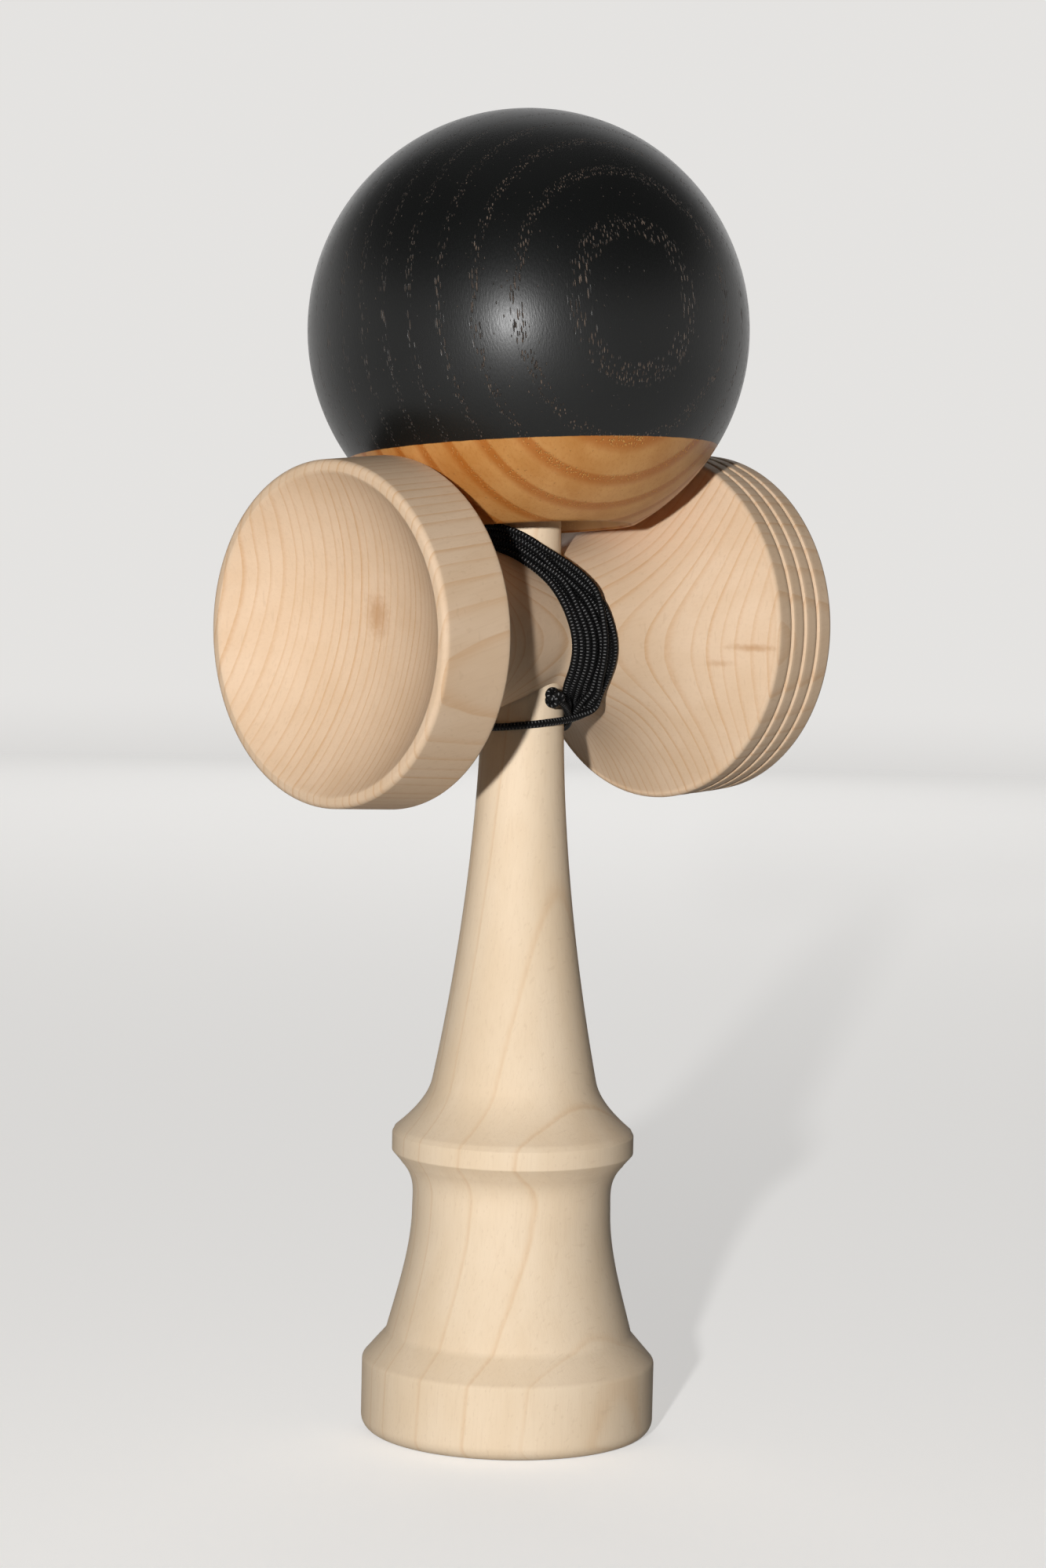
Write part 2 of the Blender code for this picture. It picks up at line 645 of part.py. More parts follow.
def make_knot(name, place, radius, finish):
    """A stopper knot: a ball with three soft lobes, as the passes of the string make."""
    work = bmesh.new()
    bmesh.ops.create_icosphere(work, subdivisions=2, radius=radius)
    for vertex in work.verts:
        around = math.atan2(vertex.co.y, vertex.co.x)
        dent = 0.08 * (1.0 - math.cos(3.0 * around + 2.0 * vertex.co.z / radius))
        vertex.co *= 1.0 - dent
    mesh = bpy.data.meshes.new(name)
    work.to_mesh(mesh)
    work.free()
    mesh.shade_smooth()
    return add_object(name, mesh, finish, place)


def build():
    for old in list(bpy.data.objects):
        bpy.data.objects.remove(old)
    maple = material("pale_maple", (0.76, 0.62, 0.45), 0.5)
    ash = material("painted_ash", (0.02, 0.022, 0.022), 0.42)
    bead_wood = material("bead_wood", (0.72, 0.58, 0.40), 0.5)
    cord = material("black_cord", (0.015, 0.015, 0.017), 0.6)

    make_ken(maple)
    make_sarado(maple)
    ball_centre = ball_rest_centre()
    make_ball(ash, ball_centre)
    make_bead(bead_wood, ball_centre)

    winding = winding_path()
    print(f"winding: least gap to itself {least_gap(winding) / MM:.2f} mm")
    make_string("string_winding", winding, 1, cord)
    make_string("string_lead", lead_path(winding), 2, cord)
    make_string("string_tail", tail_path(winding), 2, cord)
    make_knot("string_anchor_knot", CROSSING + anchor_knot_place(), ANCHOR_KNOT_RADIUS, cord)
    make_knot("string_end_knot", CROSSING + Vector(END_KNOT_PLACE) * MM, END_KNOT_RADIUS, cord)


build()
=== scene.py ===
import bpy
import numpy as np
from mathutils import Matrix, Vector


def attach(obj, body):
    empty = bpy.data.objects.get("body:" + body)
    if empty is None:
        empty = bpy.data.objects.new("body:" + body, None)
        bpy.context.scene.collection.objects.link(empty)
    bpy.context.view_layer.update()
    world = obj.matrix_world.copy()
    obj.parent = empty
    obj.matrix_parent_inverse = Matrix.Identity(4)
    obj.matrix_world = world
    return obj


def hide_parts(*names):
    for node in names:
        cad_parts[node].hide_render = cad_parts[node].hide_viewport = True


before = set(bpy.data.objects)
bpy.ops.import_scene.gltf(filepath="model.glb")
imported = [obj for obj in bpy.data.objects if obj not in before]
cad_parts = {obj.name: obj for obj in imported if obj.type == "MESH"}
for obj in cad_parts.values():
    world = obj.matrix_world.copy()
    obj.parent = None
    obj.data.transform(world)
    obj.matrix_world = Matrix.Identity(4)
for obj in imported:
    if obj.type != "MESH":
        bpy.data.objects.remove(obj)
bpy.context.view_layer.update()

MM = 0.001

# Sizes in millimetres, as the model's solids have them

CROSSING = np.array([0.0, 0.0, 111.3])  # where the crosspiece's axis meets the handle's
BALL_CENTRE = np.array([-0.518, 0.0, 151.754])
BALL_AXIS = np.array([0.024285, 0.109734, 0.993664])  # the ball leans back and a little to the side
BEAD_CENTRE = BALL_CENTRE + 15.710 * BALL_AXIS

# The handle from the spike down: lengths and radii, and (radius, height) where both are given
SPIKE_TIP = 163.153
SPIKE_NOSE = 1.7
NOSE_END = 15.0  # degrees above level, where the nose goes over into the point
SPIKE_POINT = 13.0
SPIKE_SHOULDER = 4.15
SPIKE_ROOT = 4.8
SHAFT_TOP = 5.65
SHAFT_END = (11.3, 49.0)
SHAFT_POWER = 1.87  # the shaft widens with this power of the way down
FLARE_END = (16.35, 42.2)
FLARE_END_ANGLE = 50.0  # degrees off the handle's axis
RING_EDGE = 0.4
RING_TOP_EDGE = (16.25, 41.5)
RING_LOW_EDGE = (16.25, 39.3)
RING_CHAMFER = (15.55, 37.9)
NECK_TOP = (15.35, 37.6)
NECK_TOP_SLOPE = 0.95
NECK_WAIST = (13.7, 31.0)
NECK_END = (17.0, 13.9)
NECK_END_SLOPE = -0.26
FOOT_TOP_EDGE, FOOT_TOP_ROUNDING = (19.1, 9.8), 1.1
FOOT_LOW_EDGE, FOOT_LOW_ROUNDING = (18.0, 2.2), 2.2
FOOT_BOWL, FOOT_BOWL_DEPTH = 16.7, 7.5

# The crosspiece
WAIST = 9.2
WAIST_ROUNDING = 1.0
WAIST_SPREAD = 0.24
HALF_LENGTH = 36.7
EDGE_ROUNDING = 0.7
SMALL_CUP = {"back": 23.5, "rim": 22.95, "band": 11.4, "bowl": 9.4, "grooves": 0}
BIG_CUP = {"back": 24.3, "rim": 23.7, "band": 11.9, "bowl": 10.0, "grooves": 3}
LIP_WIDTH = 1.5
LIP_ROUNDING = 0.9
LIP_INNER_ROUNDING = 0.25
BOWL_INSET, BOWL_SINK = 0.12, 0.08  # between the lip's inner rounding and the bowl's edge
FIRST_GROOVE = 3.1
GROOVE_PITCH = 2.75
GROOVE = np.array([  # a groove's line: (into the band, along the crosspiece)
    [0.0, 0.42], [-0.03, 0.34], [-0.2, 0.24], [-0.3, 0.1], [-0.3, -0.1], [-0.2, -0.24], [-0.03, -0.34],
    [0.0, -0.42],
])

# The ball and the bead
BALL = 30.0
BALL_MOUTH = 13.5
BALL_MOUTH_ROUNDING = 0.3
BEVEL_DEPTH = 5.25
BORE = 8.6
BORE_EASE = (0.15, 0.2)
BORE_TOP = 15.56
BORE_CONE_TOP = 19.98
BALL_HOLE = 1.25
BALL_SINK = ((BALL_HOLE, 28.0), (1.5, 28.75), (2.1, 29.5))
BALL_SINK_MOUTH = 2.6
BEAD = 4.0
BEAD_HOLE = 1.1
BEAD_HALF_HOLE = 3.6

# The string and its holes
STRING = 1.0
STRING_HOLE = 1.0
STRING_SINK, SINK_REACH = 4.2, 2.0  # radius at the far end, and reach off the waist's surface
HANDLE_DRILL, CROSSPIECE_DRILL = 8.0, 11.0  # how far from the crossing the string holes' tools go
ANCHOR_POCKET = 1.6
POCKET_END = 1.725
SEAT_GAP = 0.3
SEAT_REACH = 12.0  # how far past the middle the tool for the seat goes

LONGEST_STEP = 0.6  # along the outlines of the handle and the crosspiece
LONGEST_BALL_STEP = 0.7


# Outlines: arrays of (radius, height), worked out in millimetres

def arc(centre, radius, start, end, steps):
    """centre + radius * (cos a, sin a), for a from start to end in degrees."""
    a = np.radians(np.linspace(start, end, steps))
    return np.column_stack([centre[0] + radius * np.cos(a), centre[1] + radius * np.sin(a)])


def sweep(start, start_slope, end, end_slope, steps):
    """The cubic from start to end whose radius changes with height at the two slopes."""
    s = np.linspace(0.0, 1.0, steps)
    rise = end[1] - start[1]
    radius = (
        start[0] * (2 * s**3 - 3 * s**2 + 1) + start_slope * rise * (s**3 - 2 * s**2 + s)
        + end[0] * (3 * s**2 - 2 * s**3) + end_slope * rise * (s**3 - s**2)
    )
    return np.column_stack([radius, start[1] + rise * s])


def bowl(mouth, depth, steps):
    """Part of a circle from the mouth's edge, at height 0, to the deepest point on the axis."""
    sphere = (mouth**2 + depth**2) / (2 * depth)
    half_angle = np.degrees(np.arcsin(mouth / sphere))
    points = arc((0.0, depth - sphere), sphere, 90.0 - half_angle, 90.0, steps)
    points[-1] = (0.0, depth)
    return points


def steps_of(points):
    """The length of each step along a line of points."""
    return np.linalg.norm(np.diff(points, axis=0), axis=1)


def reach_of(points):
    """The way along the line from its start to each of its points."""
    return np.concatenate([[0.0], np.cumsum(steps_of(points))])


def joined(*parts):
    """The parts one after another, without the points that repeat."""
    points = np.concatenate(parts)
    return points[np.concatenate([[True], steps_of(points) > 1e-4])]


def evenly(points, longest):
    """The outline with every step cut into equal parts no longer than longest."""
    step, along = steps_of(points), reach_of(points)
    parts = np.maximum(1, np.ceil(step / longest)).astype(int)
    share = np.concatenate([np.arange(n) / n for n in parts] + [[0.0]])
    whole = np.concatenate([np.repeat(np.arange(len(parts)), parts), [len(parts)]])
    reached = along[whole] + share * np.append(step, 0.0)[whole]
    return np.column_stack([np.interp(reached, along, points[:, k]) for k in range(2)])


def seat_radius(height):
    """The handle's taper inside the crosspiece: straight from the shaft's top to the spike's root."""
    share = (height - (CROSSING[2] - WAIST)) / (2 * WAIST)
    return SHAFT_TOP + (SPIKE_ROOT - SHAFT_TOP) * share


def handle_outline():
    """From the spike's tip down to the middle of the foot's bowl."""
    seat_top, seat_bottom = CROSSING[2] + WAIST, CROSSING[2] - WAIST
    nose = arc((0.0, SPIKE_TIP - SPIKE_NOSE), SPIKE_NOSE, 90.0, NOSE_END, 14)
    nose[0] = (0.0, SPIKE_TIP)
    shoulder = (SPIKE_SHOULDER, SPIKE_TIP - SPIKE_POINT)
    taper = (SPIKE_ROOT - SPIKE_SHOULDER) / (shoulder[1] - seat_top)
    point = sweep(nose[-1], -np.tan(np.radians(NOSE_END)), shoulder, -taper, 24)
    root = np.array([[SPIKE_ROOT, seat_top]])
    down = np.linspace(0.0, 1.0, 50)[:, None]
    widening, length = SHAFT_END[0] - SHAFT_TOP, seat_bottom - SHAFT_END[1]
    shaft = np.hstack([SHAFT_TOP + widening * down**SHAFT_POWER, seat_bottom - length * down])
    shaft_slope = -SHAFT_POWER * widening / length
    flare = sweep(SHAFT_END, shaft_slope, FLARE_END, -np.tan(np.radians(FLARE_END_ANGLE)), 26)
    ring_top = arc(RING_TOP_EDGE, RING_EDGE, 50.0, 0.0, 8)
    ring_bottom = arc(RING_LOW_EDGE, RING_EDGE, 0.0, -45.0, 8)
    chamfer = np.array([RING_CHAMFER])
    hollow = sweep(NECK_TOP, NECK_TOP_SLOPE, NECK_WAIST, 0.0, 22)
    neck = sweep(NECK_WAIST, 0.0, NECK_END, NECK_END_SLOPE, 40)
    step_up = arc(FOOT_TOP_EDGE, FOOT_TOP_ROUNDING, 48.0, 0.0, 10)
    corner = arc(FOOT_LOW_EDGE, FOOT_LOW_ROUNDING, 0.0, -90.0, 16)
    foot_bowl = bowl(FOOT_BOWL, FOOT_BOWL_DEPTH, 44)
    return evenly(joined(
        nose, point, root, shaft, flare, ring_top, ring_bottom, chamfer, hollow, neck, step_up, corner,
        foot_bowl,
    ), LONGEST_STEP)


def waist_slope_radius(along):
    """A rounded middle, then a slope: waist + spread * (hypot(along, rounding) - rounding)."""
    return WAIST + WAIST_SPREAD * (np.hypot(along, WAIST_ROUNDING) - WAIST_ROUNDING)


def flare_radius(along, cup):
    """The slope, and on it a flare that grows with the fourth power of the way to the cup's back."""
    back = HALF_LENGTH - cup["band"]
    flare = cup["back"] - EDGE_ROUNDING - waist_slope_radius(back)
    return waist_slope_radius(along) + flare * (along / back) ** 4


def cup_outline(cup):
    """From the bowl's middle out over the lip, back over the band and down the flare to the waist."""
    back = HALF_LENGTH - cup["band"]
    mouth = cup["rim"] - LIP_WIDTH
    hollow = bowl(mouth - BOWL_INSET, cup["bowl"], 56)[::-1]
    hollow[:, 1] = HALF_LENGTH - BOWL_SINK - hollow[:, 1]
    inner_edge = arc((mouth + 0.1, HALF_LENGTH - LIP_INNER_ROUNDING), LIP_INNER_ROUNDING, 130.0, 85.0, 6)
    lip = arc((cup["rim"] - LIP_ROUNDING, HALF_LENGTH - LIP_ROUNDING), LIP_ROUNDING, 84.0, 2.0, 12)
    band = []
    for number in range(cup["grooves"])[::-1]:
        middle = back + FIRST_GROOVE + GROOVE_PITCH * number
        skin = cup["back"] + (cup["rim"] - cup["back"]) * (middle - back) / cup["band"]
        band.append(GROOVE + (skin, middle))
    edge = arc((cup["back"] - EDGE_ROUNDING, back + EDGE_ROUNDING), EDGE_ROUNDING, 0.0, -90.0, 10)
    along = np.linspace(back, 0.0, 60)
    flare = np.column_stack([flare_radius(along, cup), along])[1:]
    return joined(hollow, inner_edge, lip, *band, edge, flare)


def crosspiece_outline():
    """The big cup's half and the small cup's half, back to back along the crosspiece's axis."""
    small = cup_outline(SMALL_CUP)[::-1] * (1.0, -1.0)
    return evenly(joined(cup_outline(BIG_CUP), small), LONGEST_STEP)


def ball_outline():
    """Down the outside from the string's hole, in over the bevel, up the bore and out by the hole."""
    top = np.degrees(np.arccos(BALL_SINK_MOUTH / BALL))
    low = -np.degrees(np.arccos(BALL_MOUTH / BALL))
    outside = arc((0.0, 0.0), BALL, top, low, 130)
    mouth = outside[-1, 1]
    rim = arc((BALL_MOUTH - BALL_MOUTH_ROUNDING, mouth + 0.28), BALL_MOUTH_ROUNDING, low - 8.0, -135.0, 6)
    bevel_top = mouth + BEVEL_DEPTH
    inside = np.array([
        (BORE + BORE_EASE[0], bevel_top), (BORE, bevel_top + BORE_EASE[1]), (BORE, BORE_TOP),
        (BALL_HOLE, BORE_CONE_TOP), *BALL_SINK,
    ])
    return evenly(joined(outside, rim, inside, outside[:1]), LONGEST_BALL_STEP)[:-1]


def bead_outline():
    """A round bead with softened edges at its hole."""
    outside = arc((0.0, 0.0), BEAD, 70.0, -70.0, 40)
    return joined(outside, [[BEAD_HOLE, -BEAD_HALF_HOLE], [BEAD_HOLE, BEAD_HALF_HOLE]])


# Meshes

def linked(name, data):
    """A new object with the given data, linked to the scene."""
    made = bpy.data.objects.new(name, data)
    bpy.context.scene.collection.objects.link(made)
    return made


def mesh_of(name, points, quads, triangles=None, corner_uv=None):
    """A mesh in metres from points in millimetres. The sign of its volume turns its faces outwards."""
    triangles = np.zeros((0, 3), int) if triangles is None else triangles
    a, b, c, d = (points[quads[:, k]] for k in range(4))
    volume = (a * np.cross(b, c)).sum() + (a * np.cross(c, d)).sum()
    if len(triangles):
        e, f, g = (points[triangles[:, k]] for k in range(3))
        volume += (e * np.cross(f, g)).sum()
    if volume < 0:
        quads, triangles = quads[:, ::-1], triangles[:, ::-1]
        corner_uv = None if corner_uv is None else corner_uv[:, ::-1]
    mesh = bpy.data.meshes.new(name)
    mesh.vertices.add(len(points))
    mesh.vertices.foreach_set("co", (points * MM).astype(np.float32).ravel())
    corners = np.concatenate([quads.ravel(), triangles.ravel()]).astype(np.int32)
    starts = np.concatenate([np.arange(len(quads)) * 4, len(quads) * 4 + np.arange(len(triangles)) * 3])
    mesh.loops.add(len(corners))
    mesh.loops.foreach_set("vertex_index", corners)
    mesh.polygons.add(len(starts))
    mesh.polygons.foreach_set("loop_start", starts.astype(np.int32))
    if corner_uv is not None:
        uv = np.zeros((len(corners), 2), np.float32)
        uv[:len(quads) * 4] = corner_uv.reshape(-1, 2)
        mesh.uv_layers.new(name="along").data.foreach_set("uv", uv.ravel())
    mesh.update(calc_edges=True)
    mesh.validate()
    return mesh


def piece(name, mesh, finish, body, replaced, sharp=30.0):
    """Shows the mesh as a piece at the origin that rides on its body. Edges over sharp degrees stay."""
    mesh.shade_smooth()
    mesh.set_sharp_from_angle(angle=np.radians(sharp))
    mesh.materials.append(finish)
    made = linked(name, mesh)
    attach(made, body)
    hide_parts(*replaced)
    return made


def strip_quads(count, sides, closed=False):
    """The faces between count rings of points, each ring with so many sides."""
    low = np.arange(count if closed else count - 1)[:, None]
    high = (low + 1) % count
    here = np.arange(sides)[None, :]
    there = (here + 1) % sides
    return np.stack([
        low * sides + here, low * sides + there, high * sides + there, high * sides + here,
    ], axis=-1).reshape(-1, 4)


def end_fans(count, sides):
    """Triangles from the first and the last ring to the two points that come after all the rings."""
    here = np.arange(sides)
    there = (here + 1) % sides
    last_row = (count - 1) * sides
    first = np.column_stack([np.full(sides, count * sides), there, here])
    last = np.column_stack([np.full(sides, count * sides + 1), last_row + here, last_row + there])
    return np.concatenate([first, last])


def turned(name, outline, centre, across=False, segments=192, closed=False, axis=(0.0, 0.0, 1.0)):
    """Turns an outline about its axis: (radius cos a, radius sin a, height), or about X if it lies across.
    An outline's ends on the axis each become one point, and a closed outline joins its end to its start.
    A leaning axis turns every point with it."""
    a = np.arange(segments) * 2 * np.pi / segments
    tips = outline[:, 0] < 1e-6
    rows = outline[~tips]
    rings = np.stack([
        rows[:, :1] * np.cos(a), rows[:, :1] * np.sin(a), np.repeat(rows[:, 1:], segments, axis=1),
    ], axis=-1).reshape(-1, 3)
    ends = np.column_stack([np.zeros(tips.sum()), np.zeros(tips.sum()), outline[tips, 1]])
    points = np.concatenate([rings, ends])
    if across:
        points = points[:, [2, 1, 0]] * (1.0, 1.0, -1.0)
    lean = Vector((0.0, 0.0, 1.0)).rotation_difference(Vector(axis)).to_matrix()
    points = points @ np.array(lean).T
    fans = end_fans(len(rows), segments) if tips.any() else None
    return mesh_of(name, points + centre, strip_quads(len(rows), segments, closed), fans)


def bored(mesh, *drills):
    """The mesh with round holes: each drill is (start, end, start radius, end radius) in millimetres."""
    whole = linked("whole", mesh)
    tools = []
    for start, end, start_radius, end_radius in drills:
        start, end = np.array(start, float), np.array(end, float)
        long = np.linalg.norm(end - start)
        outline = np.array([[0.0, 0.0], [start_radius, 0.0], [end_radius, long], [0.0, long]])
        shape = turned("drill", outline, np.zeros(3), segments=64)
        turn = Vector((0, 0, 1)).rotation_difference(Vector(end - start)).to_matrix().to_4x4()
        shape.transform(Matrix.Translation(Vector(start * MM)) @ turn)
        tool = linked("drill", shape)
        step = whole.modifiers.new("bore", "BOOLEAN")
        step.operation = "DIFFERENCE"
        step.solver = "EXACT"
        step.object = tool
        tools.append(tool)
    seen = whole.evaluated_get(bpy.context.evaluated_depsgraph_get())
    result = bpy.data.meshes.new_from_object(seen)
    for used in [whole, *tools]:
        bpy.data.objects.remove(used)
    return result


def smooth_route(points, spacing):
    """Points at even spacing on the Catmull-Rom curve through the given ones."""
    ends = np.concatenate([[2 * points[0] - points[1]], points, [2 * points[-1] - points[-2]]])
    s = np.linspace(0.0, 1.0, 33)[:-1][None, :, None]
    before, start, end, after = (ends[k:len(ends) - 3 + k][:, None, :] for k in range(4))
    dense = 0.5 * (
        2 * start + (end - before) * s + (2 * before - 5 * start + 4 * end - after) * s**2
        + (3 * start - before - 3 * end + after) * s**3
    )
    dense = np.concatenate([dense.reshape(-1, 3), points[-1:]])
    along = reach_of(dense)
    reached = np.linspace(0.0, along[-1], int(round(along[-1] / spacing)) + 1)
    return np.column_stack([np.interp(reached, along, dense[:, k]) for k in range(3)])


def unit(vectors):
    """Each vector divided by its length."""
    return vectors / np.maximum(np.linalg.norm(vectors, axis=-1, keepdims=True), 1e-12)


def tube(name, path, outward):
    """The string's tube: path + radius * (normal cos a + side sin a). The side is the path's direction
    crossed with the way outwards, so the braid's seam stays on the inside. The UV map has the share of a
    turn round the string across, and the length along in string diameters."""
    direction = unit(np.gradient(path, axis=0))
    side = unit(np.cross(direction, outward))
    normal = np.cross(side, direction)
    count, sides = len(path), STRING_SIDES
    a = np.arange(sides) * 2 * np.pi / sides + np.pi
    rings = path[:, None] + STRING / 2 * (
        normal[:, None] * np.cos(a)[None, :, None] + side[:, None] * np.sin(a)[None, :, None]
    )
    points = np.concatenate([rings.reshape(-1, 3), path[:1], path[-1:]])
    along = reach_of(path) / STRING
    u, low = np.meshgrid(np.arange(sides) / sides, along[:-1])
    next_u, high = u + 1 / sides, np.repeat(along[1:, None], sides, axis=1)
    corner_uv = np.stack([u, low, next_u, low, next_u, high, u, high], axis=-1).reshape(-1, 4, 2)
    return mesh_of(name, points, strip_quads(count, sides), end_fans(count, sides), corner_uv)


# String: its eight turns form a bundle. Stations round the crosspiece, in degrees from the top over the
# front, have the bundle's middle along X, and how far each turn is in its place on top, at the front and at
# the bottom. The rest is its place at the back. A place is (lane, layer) in strings.

STATIONS = np.array([-90, -55, -22, 0, 18, 35, 60, 90, 120, 145, 168, 190, 228])
BUNDLE_MIDDLE = np.array([1.6, -2.3, -5.5, -5.95, -5.2, -2.4, 0.8, 3.0, 3.8, 4.5, 6.2, 7.0, 5.3])
AT_TOP = np.array([0, 0.5, 1, 1, 1, 0.65, 0.2, 0, 0, 0, 0, 0, 0])
AT_FRONT = np.array([0, 0, 0, 0, 0, 0.35, 0.8, 1, 1, 0.6, 0, 0, 0])
AT_BOTTOM = np.array([0, 0, 0, 0, 0, 0, 0, 0, 0, 0.4, 1, 1, 0.4])
TOP_SLOTS = np.array([
    (-0.5, 0), (0.5, 0), (-0.5, 1), (0.5, 1), (-0.5, 2), (0.5, 2), (-0.5, 3), (0.4, 3.05),
])
FRONT_SLOTS = np.array([
    (-2.9, 0), (-1.9, 0), (-0.9, 0), (0.1, 0), (1.1, 0), (2.1, 0), (1.0, 1), (3.1, 0),
])
BOTTOM_SLOTS = np.array([
    (-1.5, 0), (-0.5, 0), (0.5, 0), (1.5, 0), (-1.0, 1), (0, 1), (1.0, 1), (0.5, 2),
])
BACK_SLOTS = np.array([
    (-1.6, 0), (-0.5, 0), (0.6, 0), (1.7, 0), (2.5, 0.3), (1.1, 1), (0, 1), (-1.0, 1.1),
])
NUDGES = (  # (turn, station, more lane, more layer)
    (6, 5, 0.5, 0.0), (6, 6, 1.3, 0.4), (7, 5, -0.8, 0.0), (7, 6, -0.9, 0.0),
)
TURNS = 8
LAST_ANGLE = 120.0  # where the last turn ends and the tail starts
LAYER_PITCH = 0.87
LEAD_BEND = 2.4
LEAST_BEND = 2.4  # bends tighter than this are evened more
TO_WOOD, WINDING_TO_WOOD = 0.02, 0.03
SHAFT_TO_STRING = 0.12
SHAFT_FROM = WAIST - 1.5  # from this far off the crossing, the string keeps off the handle too

SETTLING_SPACING = 0.45
SETTLING_ROUNDS = 120
ROUTE_SPACING = 0.32
FIXED_START, FIXED_END = 13.0, 1.5
TAIL_LENGTH, TURNING_STEPS = 66.0, 25  # the way outwards turns over so many steps where the tail starts
STRING_SIDES = 12

# The tail from the last turn, once round the shaft and up to the knot, in millimetres from the crossing
TAIL_ROUTE = np.array([
    (6.3, -6.9, -9.4), (5.5, -6.3, -11.0), (4.1, -6.4, -12.0), (2.5, -6.8, -12.25), (0.6, -6.45, -12.25),
    (-2.3, -5.85, -12.5), (-5.0, -3.8, -12.95), (-6.3, -0.2, -13.3), (-5.5, 3.3, -13.6), (-2.6, 5.9, -13.8),
    (1.5, 6.3, -14.1), (5.0, 4.1, -14.4), (6.5, 0.6, -14.3), (6.1, -2.6, -13.7), (4.9, -4.4, -12.7),
    (3.6, -5.5, -11.6), (2.2, -6.4, -10.6), (0.9, -7.1, -10.0),
])
KNOT_PLACE, KNOT_SIZE = np.array([-1.8, -7.85, -8.9]), 0.42
ANCHOR_PLACE, ANCHOR_SIZE = np.array([0.0, -3.325, 0.0]), 0.33
INTO_KNOT = (1.2, 0.2, -0.5)


def crosspiece_radius(x):
    """The crosspiece's radius at x, on the big cup's side or the small cup's."""
    return np.where(x > 0, flare_radius(np.abs(x), BIG_CUP), flare_radius(np.abs(x), SMALL_CUP))


def winding_route():
    """Turns about the crosspiece's axis: (x, -r sin a, r cos a), where x is the bundle's middle plus the
    lane, and r is the wood's radius plus half a string plus the layer."""
    at_back = 1.0 - AT_TOP - AT_FRONT - AT_BOTTOM
    turns = []
    for turn in range(TURNS):
        slots = (
            AT_TOP[:, None] * TOP_SLOTS[turn] + AT_FRONT[:, None] * FRONT_SLOTS[turn]
            + AT_BOTTOM[:, None] * BOTTOM_SLOTS[turn] + at_back[:, None] * BACK_SLOTS[turn]
        )
        turns.append(np.column_stack([STATIONS + 360.0 * turn, BUNDLE_MIDDLE + slots[:, 0], slots[:, 1]]))
    for turn, station, lane, layer in NUDGES:
        turns[turn][station, 1:] += (lane, layer)
    places = np.concatenate(turns)
    places = places[places[:, 0] <= 360.0 * (TURNS - 1) + LAST_ANGLE]
    places[:, 0] *= 0.1  # ten degrees weigh as much as a lane in the curve's spacing
    angle, x, layer = smooth_route(places, 0.25).T
    angle = np.radians(angle * 10.0)
    radius = crosspiece_radius(x) + STRING / 2 + WINDING_TO_WOOD + layer * LAYER_PITCH * STRING
    return np.column_stack([x, -radius * np.sin(angle), radius * np.cos(angle)])


def kept_clear(path):
    """Moves points out of the wood, away from the crosspiece's axis and away from the handle's."""
    x, y, z = path.T
    need = crosspiece_radius(x) + STRING / 2 + TO_WOOD
    away = np.hypot(y, z)
    path = path.copy()
    path[:, 1:] *= np.maximum(1.0, need / np.maximum(away, 1e-6))[:, None]
    stem = np.where(path[:, 2] > 0, SPIKE_ROOT, SHAFT_TOP + SHAFT_TO_STRING) + STRING / 2 + TO_WOOD
    away = np.hypot(path[:, 0], path[:, 1])
    near = (np.abs(path[:, 2]) > SHAFT_FROM) & (away < stem)
    path[near, :2] *= (stem / np.maximum(away, 1e-6))[near, None]
    return path


def settled(path, fixed, rounds):
    """Pushes stretches of the string that lie in each other apart, a whole string's width, and evens the
    line between rounds, more where it bends tightly, so the turns bed down beside and on each other. The
    fixed stretches stay. The pairs that are near each other are looked up anew every eighth round."""
    index = np.arange(len(path))
    for number in range(rounds):
        if number % 8 == 0:
            away = np.linalg.norm(path[:, None] - path[None, :], axis=-1)
            one, other = np.nonzero((away < 1.5 * STRING) & (np.abs(index[:, None] - index[None, :]) > 8))
        gap = path[one] - path[other]
        away = np.maximum(np.linalg.norm(gap, axis=1), 1e-6)
        inside = np.maximum(STRING - away, 0.0)
        each = gap / away[:, None] * inside[:, None]
        push = np.column_stack([np.bincount(one, each[:, k], len(path)) for k in range(3)])
        crowd = np.bincount(one, inside > 0, len(path))
        moved = path + 0.35 * push / np.maximum(1.0, crowd**0.5)[:, None]
        step = steps_of(moved).mean()
        bend = np.linalg.norm(moved[2:] - 2 * moved[1:-1] + moved[:-2], axis=1) / step**2
        share = np.where(bend > 1 / LEAST_BEND, 0.5, 0.2)[:, None]
        moved[1:-1] = (1 - share) * moved[1:-1] + share / 2 * (moved[:-2] + moved[2:])
        moved = kept_clear(moved)
        moved[fixed] = path[fixed]
        path = moved
    return path


